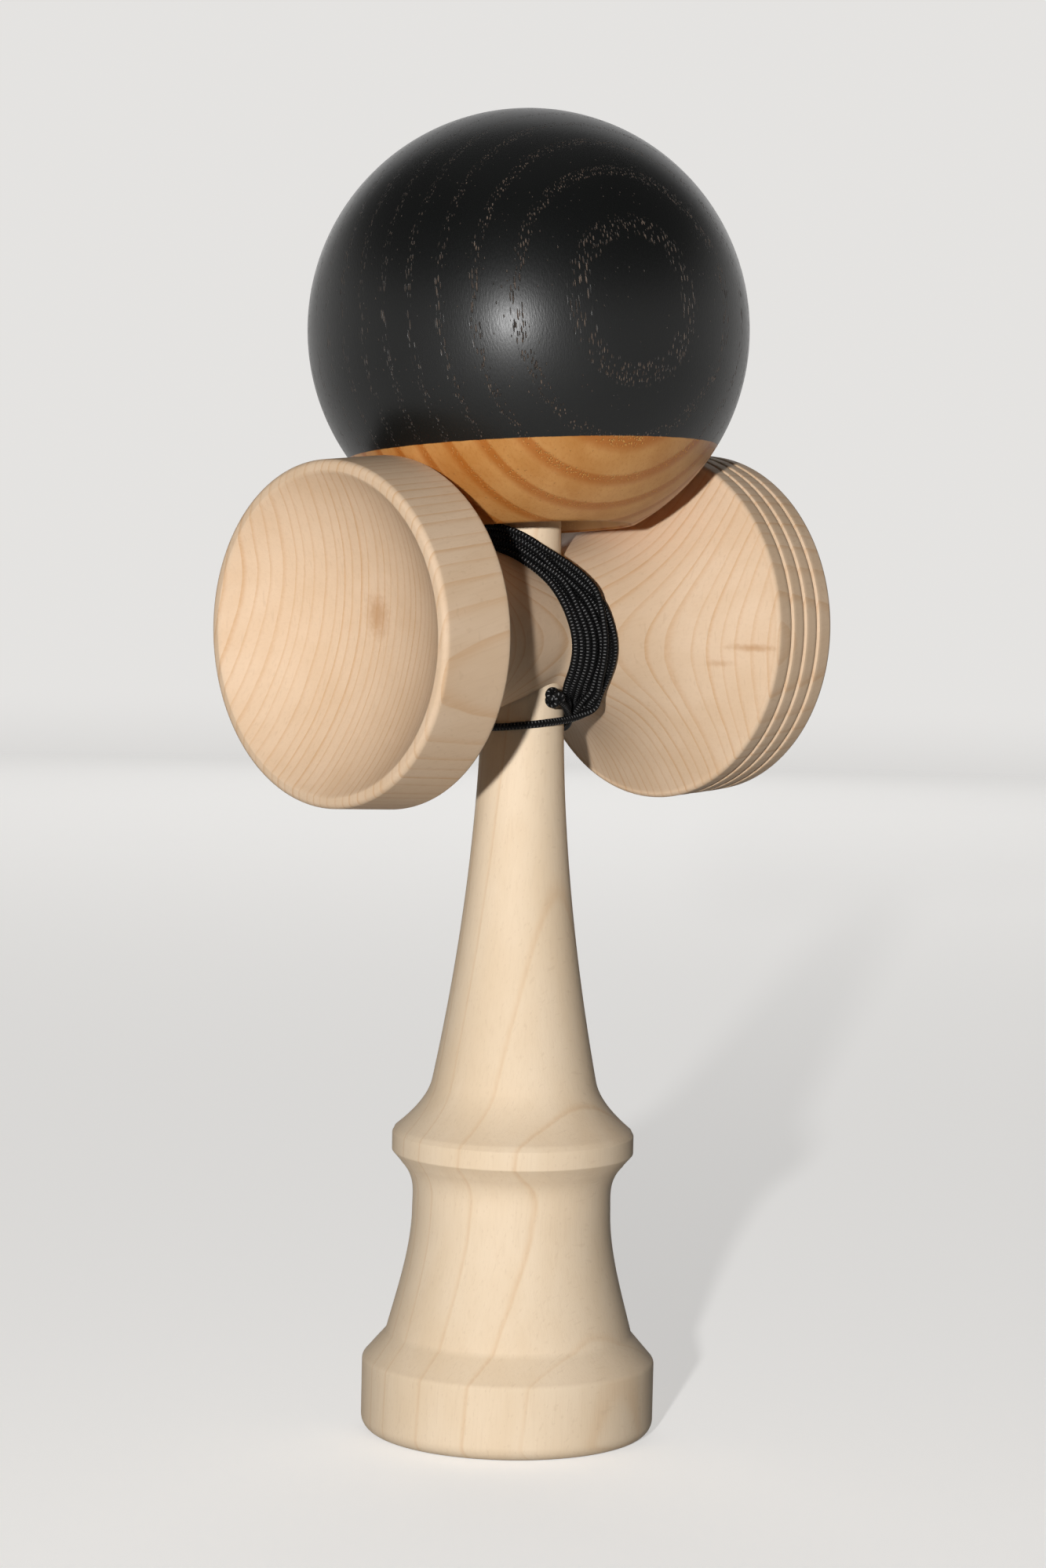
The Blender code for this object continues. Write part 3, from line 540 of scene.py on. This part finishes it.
def string_route():
    """The whole string from the crossing: through the hole, the winding, round the shaft and to the knot.
    With it comes the way outwards at each point: up inside the hole, away from the crosspiece's axis in the
    winding, and away from the handle's axis past it."""
    winding = winding_route()
    over_hole = winding[0]
    first = unit(winding[6] - over_hole)
    a = np.radians([0.0, 20.0, 40.0, 60.0])[:, None]
    out = np.array([0.0, 1.0, 0.0])
    first = unit(first - out * (first @ out))
    bend_start = np.array([0.0, over_hole[1] - LEAD_BEND, 0.0])
    bend = bend_start + LEAD_BEND * (out * np.sin(a) + first * (1.0 - np.cos(a)))
    straight = np.column_stack([np.zeros(5), np.linspace(-1.9, bend_start[1] - 1.2, 5), np.zeros(5)])
    clear = np.linalg.norm(winding - bend[-1], axis=1)
    joins = np.argmax((clear > 1.2) & (np.arange(len(winding)) > 3))
    whole = np.concatenate([straight, bend, winding[joins:], TAIL_ROUTE, [KNOT_PLACE + INTO_KNOT]])
    path = smooth_route(whole, SETTLING_SPACING)
    along = np.arange(len(path)) * SETTLING_SPACING
    fixed = (along < FIXED_START) | (along > along[-1] - FIXED_END)
    path = smooth_route(settled(path, fixed, SETTLING_ROUNDS), ROUTE_SPACING)
    x, y, z = path.T
    in_hole = np.clip((9.0 - np.abs(y)) / 1.5, 0, 1) * (np.abs(x) < 2.0) * (np.abs(z) < 3.0)
    tail_start = len(path) - TAIL_LENGTH / ROUTE_SPACING
    in_tail = np.clip((np.arange(len(path)) - tail_start) / TURNING_STEPS, 0, 1)
    in_hole, in_tail = in_hole[:, None], in_tail[:, None]
    round_waist = unit(np.column_stack([0 * x, y, z]))
    round_shaft = unit(np.column_stack([x, y, 0 * z]))
    outward = round_waist * (1 - in_tail) + round_shaft * in_tail
    outward = outward * (1 - in_hole) + np.array([0.0, 0.0, 1.0]) * in_hole
    return path + CROSSING, outward


def knot_route(centre, size):
    """A tightened overhand knot: a line that runs twice round a torus while it turns three times about its
    ring, ((1.35 + cos 3t) cos 2t, (1.35 + cos 3t) sin 2t, sin 3t), with its axis towards the camera's side.
    With it comes the way outwards from the knot's middle. Both end on their first two points, so that the
    tube closes on itself."""
    t = np.linspace(0.0, 2 * np.pi, 181)[:-1]
    ring = 1.35 + np.cos(3 * t)
    across, up, out = ring * np.cos(2 * t), ring * np.sin(2 * t), np.sin(3 * t)
    turn = np.column_stack([(across - out) * np.sqrt(0.5), (-across - out) * np.sqrt(0.5), up])
    turn = np.concatenate([turn, turn[:2]])
    return centre + turn * size, turn


# Materials: small helpers, then groups that more than one finish uses

def add(tree, kind, inputs=None, **settings):
    """One node with its settings, its inputs wired to sockets or set to values."""
    made = tree.nodes.new(kind)
    for name, value in settings.items():
        setattr(made, name, value)
    for name, value in (inputs or {}).items():
        socket = made.inputs[name]
        if isinstance(value, bpy.types.NodeSocket):
            tree.links.new(value, socket)
        else:
            socket.default_value = value
    return made


def calc(tree, operation, a, b=0.0, c=0.0, clamp=False):
    """A number from a Math node."""
    made = add(tree, "ShaderNodeMath", {0: a, 1: b, 2: c}, operation=operation, use_clamp=clamp)
    return made.outputs[0]


def times(tree, a, b):
    return calc(tree, "MULTIPLY", a, b)


def times_plus(tree, a, b, c):
    """a * b + c."""
    return calc(tree, "MULTIPLY_ADD", a, b, c)


def vector_calc(tree, operation, a, b=(0.0, 0.0, 0.0)):
    """A vector, a length or a dot product from a Vector Math node."""
    made = add(tree, "ShaderNodeVectorMath", {0: a, 1: b}, operation=operation)
    return made.outputs["Value" if operation in ("LENGTH", "DOT_PRODUCT") else "Vector"]


def vector_times(tree, a, b):
    return vector_calc(tree, "MULTIPLY", a, b)


def smooth_step(tree, value, low, high, before=0.0, after=1.0):
    """Before up to low and after from high on, smooth between. Low and high may be sockets."""
    return add(tree, "ShaderNodeMapRange", {
        "Value": value, "From Min": low, "From Max": high, "To Min": before, "To Max": after,
    }, interpolation_type="SMOOTHSTEP").outputs["Result"]


def ramp(tree, value, low, high):
    """0 below low, 1 above high, smooth between, or the other way round where low is the larger."""
    if low < high:
        return smooth_step(tree, value, low, high)
    return smooth_step(tree, value, high, low, 1.0, 0.0)


def noise(tree, vector, scale, detail=2.0, roughness=0.5):
    """Noise about 0.5, its features about 1 / scale metres wide."""
    made = add(tree, "ShaderNodeTexNoise", {
        "Vector": vector, "Scale": scale, "Detail": detail, "Roughness": roughness,
    })
    return made.outputs["Fac"]


def mixed(tree, share, a, b):
    """Colour a with a share of colour b."""
    return add(tree, "ShaderNodeMix", {0: share, 6: a, 7: b}, data_type="RGBA").outputs[2]


def object_place(tree):
    return add(tree, "ShaderNodeTexCoord").outputs["Object"]


def in_metres(values):
    return tuple(value * MM for value in values)


def new_group(name, inputs, outputs):
    """An empty node group, and its input and output nodes. An input without a value is a vector."""
    tree = bpy.data.node_groups.new(name, "ShaderNodeTree")
    for title, value in inputs.items():
        kind = "NodeSocketVector" if value is None else "NodeSocketFloat"
        socket = tree.interface.new_socket(name=title, in_out="INPUT", socket_type=kind)
        if value is not None:
            socket.default_value = value
    for title in outputs:
        tree.interface.new_socket(name=title, in_out="OUTPUT", socket_type="NodeSocketFloat")
    return tree, tree.nodes.new("NodeGroupInput"), tree.nodes.new("NodeGroupOutput")


def put_out(tree, out, values):
    """Wires the group's results to its named outputs."""
    for name, value in values.items():
        tree.links.new(value, out.inputs[name])
    return tree


def group_node(tree, group, inputs):
    """The outputs of a group node with its inputs wired or set."""
    return add(tree, "ShaderNodeGroup", inputs, node_tree=group).outputs


def make_year_rings():
    """Growth rings from a distance: it wanders, is divided by the pitch, and its fraction makes a thin line
    at the end of each year. Within runs from 0 to 1 through a year, and each year has its own strength."""
    tree, given, out = new_group("year rings", {
        "Place": None, "Distance": 0.0, "Pitch": 0.0015, "Wander": 0.0005, "Uneven": 0.5, "Line Width": 0.2,
    }, ["Line", "Within", "Strength"])
    place, distance, pitch, reach = (given.outputs[k] for k in ("Place", "Distance", "Pitch", "Wander"))
    slow = noise(tree, vector_times(tree, place, (1.0, 1.0, 0.22)), 55.0, 1.0)
    quick = noise(tree, vector_times(tree, place, (1.0, 1.0, 0.3)), 300.0, 1.0)
    wander = times(tree, calc(tree, "SUBTRACT", slow, 0.5), reach)
    wander = times_plus(tree, calc(tree, "SUBTRACT", quick, 0.5), times(tree, reach, 0.13), wander)
    years = calc(tree, "DIVIDE", calc(tree, "ADD", distance, wander), pitch)
    season = add(tree, "ShaderNodeTexNoise", {"W": years, "Scale": 0.43, "Detail": 1.0},
                 noise_dimensions="1D").outputs["Fac"]
    uneven = times(tree, given.outputs["Uneven"], 3.0)
    years = times_plus(tree, calc(tree, "SUBTRACT", season, 0.5), uneven, years)
    within = calc(tree, "FRACT", years)
    line_start = calc(tree, "SUBTRACT", 1.0, given.outputs["Line Width"])
    start = smooth_step(tree, within, line_start, 0.965)
    line = times(tree, calc(tree, "POWER", start, 1.6), ramp(tree, within, 1.0, 0.955))
    luck = add(tree, "ShaderNodeTexWhiteNoise", {"W": calc(tree, "FLOOR", years)},
               noise_dimensions="1D").outputs["Value"]
    return put_out(tree, out, {"Line": line, "Within": within, "Strength": luck})


FIBRES = {  # each noise's stretch, scale, detail and roughness
    "Streaks": ((1.0, 1.0, 0.05), 2600.0, 3.0, 0.6), "Rays": ((0.3, 2.6, 0.8), 1500.0, 1.0, 0.5),
    "Mottle": ((1.0, 1.0, 0.35), 160.0, 3.0, 0.55), "Fine": ((1.0, 1.0, 0.3), 5200.0, 1.0, 0.5),
}


def make_fibres():
    """Fine wood structure, each a stretched noise: streaks along the grain, short ray flecks across it,
    broad soft mottle and fine roughness."""
    tree, given, out = new_group("fibres", {"Place": None}, FIBRES)
    values = {
        name: noise(tree, vector_times(tree, given.outputs["Place"], stretch), *rest)
        for name, (stretch, *rest) in FIBRES.items()
    }
    values["Rays"] = ramp(tree, values["Rays"], 0.62, 0.74)
    return put_out(tree, out, values)


def make_open_pores():
    """Long vessels along the grain, cut open at the surface: stretched cells with a hollow at the middle of
    most of them. The mask is 1 in a pore, and each pore has its own strength."""
    tree, given, out = new_group("open pores", {
        "Place": None, "Spacing": 0.00042, "Length": 9.0, "Size": 0.3, "Share": 0.8,
    }, ["Pore", "Strength"])
    short = calc(tree, "DIVIDE", 1.0, given.outputs["Length"])
    stretch = add(tree, "ShaderNodeCombineXYZ", {"X": 1.0, "Y": 1.0, "Z": short}).outputs[0]
    place = vector_times(tree, given.outputs["Place"], stretch)
    cells = add(tree, "ShaderNodeTexVoronoi", {
        "Vector": place, "Scale": calc(tree, "DIVIDE", 1.0, given.outputs["Spacing"]), "Randomness": 1.0,
    }, feature="F1")
    luck = add(tree, "ShaderNodeSeparateColor", {0: cells.outputs["Color"]}).outputs
    size = times(tree, given.outputs["Size"], times_plus(tree, luck[0], 0.5, 0.65))
    hole = smooth_step(tree, cells.outputs["Distance"], times(tree, size, 0.55), size, 1.0, 0.0)
    there = calc(tree, "LESS_THAN", luck[1], given.outputs["Share"])
    return put_out(tree, out, {"Pore": times(tree, hole, there), "Strength": luck[2]})


def placed(tree, pith, grain):
    """Wood coordinates: object coordinates moved so that the pith's axis is at the origin, and turned so
    that the grain runs along Z."""
    turn = Vector(grain).rotation_difference(Vector((0.0, 0.0, 1.0))).to_euler()
    moved = vector_calc(tree, "SUBTRACT", object_place(tree), in_metres(pith))
    made = add(tree, "ShaderNodeMapping", {"Vector": moved, "Rotation": turn}, vector_type="POINT")
    return made.outputs[0]


def from_pith(tree, place):
    """The distance from the pith's axis."""
    return vector_calc(tree, "LENGTH", vector_times(tree, place, (1.0, 1.0, 0.0)))


def new_finish(name, specular):
    """A material with its tree and its shader, whose gloss level is the same all over."""
    made = bpy.data.materials.new(name)
    made.use_nodes = True
    shader = made.node_tree.nodes["Principled BSDF"]
    shader.inputs["Specular IOR Level"].default_value = specular
    return made, made.node_tree, shader


def wired(tree, shader, colour, rough, height, strength, depth):
    """Wires a finish: its colour, its roughness, and its relief, which is a bump of the given depth."""
    bump = add(tree, "ShaderNodeBump", {"Height": height, "Strength": strength, "Distance": depth})
    for title, value in (("Base Color", colour), ("Roughness", rough), ("Normal", bump.outputs[0])):
        tree.links.new(value, shader.inputs[title])


def smudges(tree, marks):
    """1 inside soft ragged ellipsoids: each mark is (centre, reach along X, Y and Z, strength)."""
    place = object_place(tree)
    ragged = times_plus(tree, noise(tree, place, 1400.0), 0.9, -0.45)
    whole = 0.0
    for centre, reach, strength in marks:
        away = vector_calc(tree, "SUBTRACT", place, in_metres(centre))
        away = vector_times(tree, away, tuple(1 / value for value in in_metres(reach)))
        away = calc(tree, "ADD", vector_calc(tree, "LENGTH", away), ragged)
        whole = calc(tree, "MAXIMUM", whole, times(tree, ramp(tree, away, 1.25, 0.1), strength))
    return whole


# Maple's colours, before each piece's own tone
MAPLE = {
    "pale": (0.82, 0.66, 0.475), "cream": (0.775, 0.605, 0.415), "pink": (0.63, 0.36, 0.15),
    "shade": (0.60, 0.43, 0.27), "brown": (0.50, 0.27, 0.11),
}
MAPLE_GLOSS = 0.3

# Each piece of maple: where its pith is in millimetres, which way the grain runs, its tone, the rings'
# pitch and wander in metres, how uneven the years are, how wide and how pink their lines are, and its marks
HANDLE_WOOD = {
    "pith": (-12.0, 200.0, 0.0), "grain": (0.0, -0.061, 0.998), "tone": (1.08, 1.08, 1.09),
    "pitch": 0.0055, "wander": 0.0016, "uneven": 0.35, "line_width": 0.16, "line_share": 0.3, "marks": (),
}
# The crosspiece's pith lies far in front, and its grain rises to the big cup
CROSSPIECE_WOOD = {
    "pith": CROSSING + (0.0, -164.7, -19.4), "grain": (0.963, -0.037, 0.2656), "tone": (0.96, 0.885, 0.85),
    "pitch": 0.00145, "wander": 0.0014, "uneven": 0.3, "line_width": 0.42, "line_share": 0.5,
    "marks": (
        ((-27.0, 0.0, 113.6), (3.2, 2.5, 3.4), 0.55),
        ((23.3, -20.9, 109.3), (3.8, 4.0, 0.6), 0.6),
        ((20.6, -17.3, 107.0), (2.0, 2.2, 0.6), 0.4),
    ),
}


def make_maple(name, wood, rings, fibres):
    """Pale sanded maple: cream with fine pinkish lines at the years' ends, faint streaks and ray flecks."""
    made, tree, shader = new_finish(name, MAPLE_GLOSS)
    place = placed(tree, wood["pith"], wood["grain"])
    year = group_node(tree, rings, {
        "Place": place, "Distance": from_pith(tree, place), "Pitch": wood["pitch"],
        "Wander": wood["wander"], "Uneven": wood["uneven"], "Line Width": wood["line_width"],
    })
    fibre = group_node(tree, fibres, {"Place": place})
    tint = {
        title: tuple(part * share for part, share in zip(colour, wood["tone"])) + (1.0,)
        for title, colour in MAPLE.items()
    }
    colour = mixed(tree, ramp(tree, fibre["Mottle"], 0.3, 0.72), tint["pale"], tint["cream"])
    colour = mixed(tree, times(tree, year["Within"], 0.2), colour, tint["cream"])
    share = wood["line_share"]
    line = times(tree, year["Line"], times_plus(tree, year["Strength"], 0.6 * share, 0.55 * share))
    broken = ramp(tree, fibre["Streaks"], 0.25, 0.6)
    line = times(tree, line, times_plus(tree, broken, 0.35, 0.65))
    colour = mixed(tree, line, colour, tint["pink"])
    colour = mixed(tree, times(tree, fibre["Rays"], 0.2), colour, tint["shade"])
    streak = times(tree, ramp(tree, fibre["Streaks"], 0.45, 0.8), 0.16)
    colour = mixed(tree, streak, colour, tint["shade"])
    if wood["marks"]:
        colour = mixed(tree, smudges(tree, wood["marks"]), colour, tint["brown"])
    rough = times_plus(tree, fibre["Streaks"], 0.18, 0.56)
    height = times_plus(tree, fibre["Fine"], 0.5, fibre["Streaks"])
    height = calc(tree, "SUBTRACT", height, times(tree, line, 0.6))
    wired(tree, shader, colour, rough, height, 0.35, 0.00006)
    return made


# The ball's wood: its pith lies far past the camera's side and leans. The paint ends at a turned border.
BALL_PITH = np.array([-35.7, -130.1, 0.0])
BALL_GRAIN = (0.003, 0.1437, 0.9896)
BALL_RING_PITCH = 4.1
BALL_RING_WANDER = 0.9
FIRST_RING = 104.65 - 8 * BALL_RING_PITCH  # the eighth ring lies where the photograph shows one
PORES_FADE_FROM, PORES_FADE_TO = 110.0, 125.0  # from the pith, where fewer and fewer of the open pores show
BORDER_LEVEL = -16.55
BORDER_SOFTNESS, BORDER_RAGGED = 0.06, 0.12
PAINTED_FROM, PAINTED_TO = 29.3, 29.7  # from the ball's middle: no paint below the surface
ASH_GLOSS = 0.33
ASH = {
    "golden": (0.62, 0.31, 0.10, 1), "honey": (0.52, 0.23, 0.058, 1), "burnt": (0.40, 0.115, 0.012, 1),
    # the end grain inside the mouth is painted paler than the wood, as the lamp's light on the bevel's far
    # wall
    "fleck": (0.82, 0.46, 0.13, 1), "painted lit end grain": (0.84, 0.62, 0.36, 1),
    "black": (0.0032, 0.0036, 0.0036, 1), "worn black": (0.0048, 0.0052, 0.005, 1),
    "dark pore": (0.02, 0.013, 0.009, 1), "pale pore": (0.155, 0.113, 0.086, 1),
}
BAND_PORES = {"Spacing": 0.00028, "Length": 6.5, "Size": 0.44, "Share": 0.85}
LOOSE_PORES = {"Spacing": 0.0006, "Length": 2.5, "Size": 0.15, "Share": 0.5}


def make_painted_ash(rings, fibres, pores):
    """Ash with wide rings of open pores: thin satin black down to a turned border, bare and golden below.
    The pores stay open through the paint and show brown."""
    made, tree, shader = new_finish("painted ash", ASH_GLOSS)
    place = placed(tree, BALL_CENTRE + BALL_PITH, BALL_GRAIN)
    distance = from_pith(tree, place)
    year = group_node(tree, rings, {
        "Place": place, "Distance": calc(tree, "SUBTRACT", distance, FIRST_RING * MM),
        "Pitch": BALL_RING_PITCH * MM, "Wander": BALL_RING_WANDER * MM, "Uneven": 0.0, "Line Width": 0.3,
    })
    grain = group_node(tree, fibres, {"Place": place})
    vessels = group_node(tree, pores, {"Place": place, **BAND_PORES})
    small = group_node(tree, pores, {"Place": place, **LOOSE_PORES})

    within = year["Within"]
    spring = times(tree, ramp(tree, within, 0.0, 0.05), ramp(tree, within, 0.31, 0.22))
    # the open pores show less and less the farther they are from the pith
    pores_fading = ramp(tree, distance, PORES_FADE_FROM * MM, PORES_FADE_TO * MM)
    spring = times(tree, spring, times_plus(tree, pores_fading, -0.6, 1.0))
    open_pore = times(tree, vessels["Pore"], spring)
    pore = calc(tree, "MAXIMUM", open_pore, times(tree, small["Pore"], 0.7))

    from_centre = vector_calc(tree, "SUBTRACT", object_place(tree), in_metres(BALL_CENTRE))
    level = vector_calc(tree, "DOT_PRODUCT", from_centre, tuple(BALL_AXIS))
    uneven = calc(tree, "SUBTRACT", noise(tree, place, 900.0), 0.5)
    ragged = times_plus(tree, uneven, BORDER_RAGGED * MM, level)
    above = ramp(tree, ragged, (BORDER_LEVEL - BORDER_SOFTNESS) * MM, (BORDER_LEVEL + BORDER_SOFTNESS) * MM)
    outside = ramp(tree, vector_calc(tree, "LENGTH", from_centre), PAINTED_FROM * MM, PAINTED_TO * MM)
    paint = times(tree, above, outside)

    wood = mixed(tree, ramp(tree, grain["Mottle"], 0.3, 0.7), ASH["golden"], ASH["honey"])
    early = times(tree, ramp(tree, within, 0.0, 0.10), ramp(tree, within, 0.5, 0.22))
    wood = mixed(tree, times(tree, early, 0.75), wood, ASH["burnt"])
    streak = times(tree, ramp(tree, grain["Streaks"], 0.45, 0.8), 0.35)
    wood = mixed(tree, streak, wood, ASH["burnt"])
    wood = mixed(tree, times(tree, open_pore, 0.55), wood, ASH["fleck"])
    # inside the surface, at the mouth and the bore: end grain, painted paler to stand in for the light on
    # the bevel's far wall
    wood = mixed(tree, times_plus(tree, outside, -0.7, 0.7), wood, ASH["painted lit end grain"])
    black = mixed(tree, grain["Mottle"], ASH["black"], ASH["worn black"])
    bare = mixed(tree, vessels["Strength"], ASH["dark pore"], ASH["pale pore"])
    black = mixed(tree, times(tree, pore, 0.9), black, bare)
    rough = times_plus(tree, grain["Fine"], 0.1, times_plus(tree, pore, 0.3, 0.31))
    height = times_plus(tree, grain["Fine"], 0.14, times(tree, pore, -1.0))
    wired(tree, shader, mixed(tree, paint, wood, black), rough, height, 0.8, 0.00012)
    return made


BRAID_ROUND = 2.0  # yarns of each family round the string
BRAID_ALONG = 2.2  # yarns of each family in one diameter of length
BRAID_GLOSS = 0.12
# the braid's black, and the grey of its painted glints, which stand in for light caught on the yarns
BRAID_BLACK, BRAID_PAINTED_GLINT = (0.0018, 0.0018, 0.0019, 1), (0.30, 0.30, 0.30, 1)


def make_braid():
    """Black braided nylon: two families of yarns cross on the UV map. The sum of their cosines along the
    two diagonals peaks in staggered rows, and each peak is a small hill with a painted glint, a grey
    colour that stands in for the light caught on the yarns."""
    made, tree, shader = new_finish("braided nylon", BRAID_GLOSS)
    uv = add(tree, "ShaderNodeUVMap", uv_map="along").outputs[0]
    u, v = (add(tree, "ShaderNodeSeparateXYZ", {0: uv}).outputs[k] for k in (0, 1))
    across = times_plus(tree, u, 2 * np.pi * BRAID_ROUND, np.pi / 2)
    along = times(tree, v, 2 * np.pi * BRAID_ALONG)
    left = calc(tree, "COSINE", calc(tree, "ADD", across, along))
    right = calc(tree, "COSINE", calc(tree, "SUBTRACT", across, along))
    hill = ramp(tree, calc(tree, "MAXIMUM", left, right), -0.2, 1.0)
    peak = ramp(tree, calc(tree, "ADD", left, right), 0.9, 1.9)
    fine = add(tree, "ShaderNodeMapping", {"Vector": uv, "Scale": (40.0, 14.0, 1.0)}).outputs[0]
    threads = noise(tree, fine, 1.0, 2.0)
    # painted highlight: grey on the braid's peaks in place of the light they catch
    painted_glint = times(tree, peak, times_plus(tree, threads, 1.2, -0.1))
    rough = times_plus(tree, peak, -0.25, 0.7)
    height = times_plus(tree, threads, 0.25, hill)
    wired(tree, shader, mixed(tree, painted_glint, BRAID_BLACK, BRAID_PAINTED_GLINT), rough, height, 1.0, 0.00009)
    return made


# Camera, as the photograph was taken

CAMERA_PLACE = Vector((-0.43310, -0.43781, 0.14422))
CAMERA_RIGHT = Vector((0.71183, -0.70198, 0.02288))
CAMERA_UP = Vector((0.04541, 0.07851, 0.99588))
LENS, SENSOR = 103.52, 36.0


def make_camera():
    """The camera at its place, turned so that its right, its up and its back are the given directions."""
    data = bpy.data.cameras.new("camera")
    data.lens = LENS
    data.sensor_width = SENSOR
    data.clip_start = 0.01
    data.clip_end = 20.0
    camera = linked("camera", data)
    back = CAMERA_RIGHT.cross(CAMERA_UP).normalized()
    turn = Matrix((CAMERA_RIGHT, CAMERA_UP, back)).transposed()
    camera.matrix_world = Matrix.Translation(CAMERA_PLACE) @ turn.to_4x4()
    bpy.context.scene.camera = camera


# Studio: a pale floor that fades into the world, a key from the left of the camera and soft fills

OBJECT_MIDDLE = (0.0, 0.0, 0.1)
LAMPS = (  # (name, place, size, watts)
    ("key", (-0.872, -0.645, 0.227), 0.032, 11.4),
    ("top fill", (0.1, 0.2, 1.1), 0.9, 0.2),
    ("back light", (0.62, 0.62, 0.50), 1.0, 1.7),
)
PALE_LIGHT = (1.0, 0.985, 0.965, 1)
WORLD_ON_OBJECT = 0.015
WORLD_SHOWN, WORLD_SHOWN_LESS = 0.78, 0.68  # near the horizon, and how much less it is high up
FLOOR_SIZE = 1.6
FLOOR_FADE = (0.45, 1.5)
FLOOR_TO_LIGHT, FLOOR_SHOWN = (0.22, 0.215, 0.21, 1), (0.80, 0.79, 0.77, 1)
FLOOR_GLOW = 0.5


def shown_rays(tree):
    """1 for the rays that show the background: to the camera, off gloss and through glass."""
    kinds = add(tree, "ShaderNodeLightPath").outputs
    seen = calc(tree, "ADD", kinds["Is Camera Ray"], kinds["Is Glossy Ray"])
    return calc(tree, "ADD", seen, kinds["Is Transmission Ray"], clamp=True)


def area_light(name, place, size, watts):
    """A round lamp that looks at the object's middle."""
    data = bpy.data.lights.new(name, "AREA")
    data.shape = "DISK"
    data.size = size
    data.energy = watts
    light = linked(name, data)
    light.location = place
    light.rotation_euler = (Vector(OBJECT_MIDDLE) - Vector(place)).to_track_quat("-Z", "Y").to_euler()


def make_world():
    """A dim world on the object, shown as a pale background that is darker high up."""
    world = bpy.data.worlds.new("studio")
    bpy.context.scene.world = world
    world.use_nodes = True
    tree = world.node_tree
    background = tree.nodes["Background"]
    background.inputs["Color"].default_value = PALE_LIGHT
    toward = add(tree, "ShaderNodeTexCoord").outputs["Generated"]
    height = add(tree, "ShaderNodeSeparateXYZ", {0: toward}).outputs["Z"]
    shown = times_plus(tree, ramp(tree, height, 0.12, 0.5), -WORLD_SHOWN_LESS, WORLD_SHOWN)
    strength = add(tree, "ShaderNodeMapRange", {
        "Value": shown_rays(tree), "To Min": WORLD_ON_OBJECT, "To Max": shown,
    }).outputs[0]
    tree.links.new(strength, background.inputs["Strength"])


def make_floor():
    """A matt disc that turns clear towards its edge. It throws little light back on the object, and shows
    pale with the object's shadow on it."""
    a = np.linspace(0.0, 2 * np.pi, 97)[:-1]
    edge = np.column_stack([FLOOR_SIZE * np.cos(a), FLOOR_SIZE * np.sin(a), 0 * a])
    mesh = bpy.data.meshes.new("floor")
    mesh.from_pydata(edge.tolist(), [], [list(range(96))])
    finish, tree, shader = new_finish("pale floor", 0.0)
    shader.inputs["Roughness"].default_value = 1.0
    shader.inputs["Emission Color"].default_value = PALE_LIGHT
    seen = shown_rays(tree)
    tree.links.new(mixed(tree, seen, FLOOR_TO_LIGHT, FLOOR_SHOWN), shader.inputs["Base Color"])
    tree.links.new(times(tree, seen, FLOOR_GLOW), shader.inputs["Emission Strength"])
    fade = ramp(tree, vector_calc(tree, "LENGTH", object_place(tree)), *FLOOR_FADE)
    clear = add(tree, "ShaderNodeBsdfTransparent").outputs[0]
    blend = add(tree, "ShaderNodeMixShader", {0: fade, 1: shader.outputs[0], 2: clear})
    tree.links.new(blend.outputs[0], tree.nodes["Material Output"].inputs["Surface"])
    mesh.materials.append(finish)
    linked("floor", mesh)


def make_studio():
    bpy.context.scene.view_settings.view_transform = "Standard"
    make_world()
    make_floor()
    for lamp in LAMPS:
        area_light(*lamp)


# The object

def dress_wood(rings, fibres):
    """The handle, the crosspiece on it, the ball and the bead in the ball."""
    handle_maple = make_maple("handle maple", HANDLE_WOOD, rings, fibres)
    cross_maple = make_maple("crosspiece maple", CROSSPIECE_WOOD, rings, fibres)
    ash = make_painted_ash(rings, fibres, make_open_pores())

    low, high = CROSSING - (0, 0, SEAT_REACH), CROSSING + (0, 0, SEAT_REACH)
    waist = CROSSING + (0, WAIST, 0)
    cross_mesh = bored(
        turned("sarado", crosspiece_outline(), CROSSING, across=True),
        (low, high, seat_radius(low[2]) + SEAT_GAP, seat_radius(high[2]) + SEAT_GAP),
        (CROSSING, CROSSING + (0, CROSSPIECE_DRILL, 0), STRING_HOLE, STRING_HOLE),
        (waist - (0, SINK_REACH, 0), waist + (0, SINK_REACH, 0), STRING_HOLE, STRING_SINK),
    )
    front, back = CROSSING - (0, HANDLE_DRILL, 0), CROSSING + (0, HANDLE_DRILL, 0)
    handle_mesh = bored(
        turned("ken", handle_outline(), np.zeros(3)),
        (front, back, STRING_HOLE, STRING_HOLE),
        (front, CROSSING - (0, POCKET_END, 0), ANCHOR_POCKET, ANCHOR_POCKET),
    )
    piece("handle", handle_mesh, handle_maple, "handle", ["ken"])
    piece("crosspiece", cross_mesh, cross_maple, "handle", ["sarado"])
    ball_mesh = turned("tama", ball_outline(), BALL_CENTRE, closed=True, axis=BALL_AXIS)
    piece("ball", ball_mesh, ash, "ball", ["tama"])
    bead_mesh = turned("bead", bead_outline(), BEAD_CENTRE, segments=64, closed=True, axis=BALL_AXIS)
    piece("bead", bead_mesh, handle_maple, "swivel", ["string_bead"])


def dress_string():
    """The string as one cord, and its two knots."""
    braid = make_braid()
    route, outward = string_route()
    string = piece(
        "string", tube("string", route, outward), braid, "handle",
        ["string_lead", "string_winding", "string_tail"], sharp=60.0,
    )
    for name, place, size, node in (
        ("end_knot", KNOT_PLACE, KNOT_SIZE, "string_end_knot"),
        ("anchor_knot", ANCHOR_PLACE, ANCHOR_SIZE, "string_anchor_knot"),
    ):
        knot = tube(name, *knot_route(place + CROSSING, size))
        piece(name, knot, braid, "handle", [node], sharp=60.0)


make_camera()
make_studio()
dress_wood(make_year_rings(), make_fibres())
dress_string()
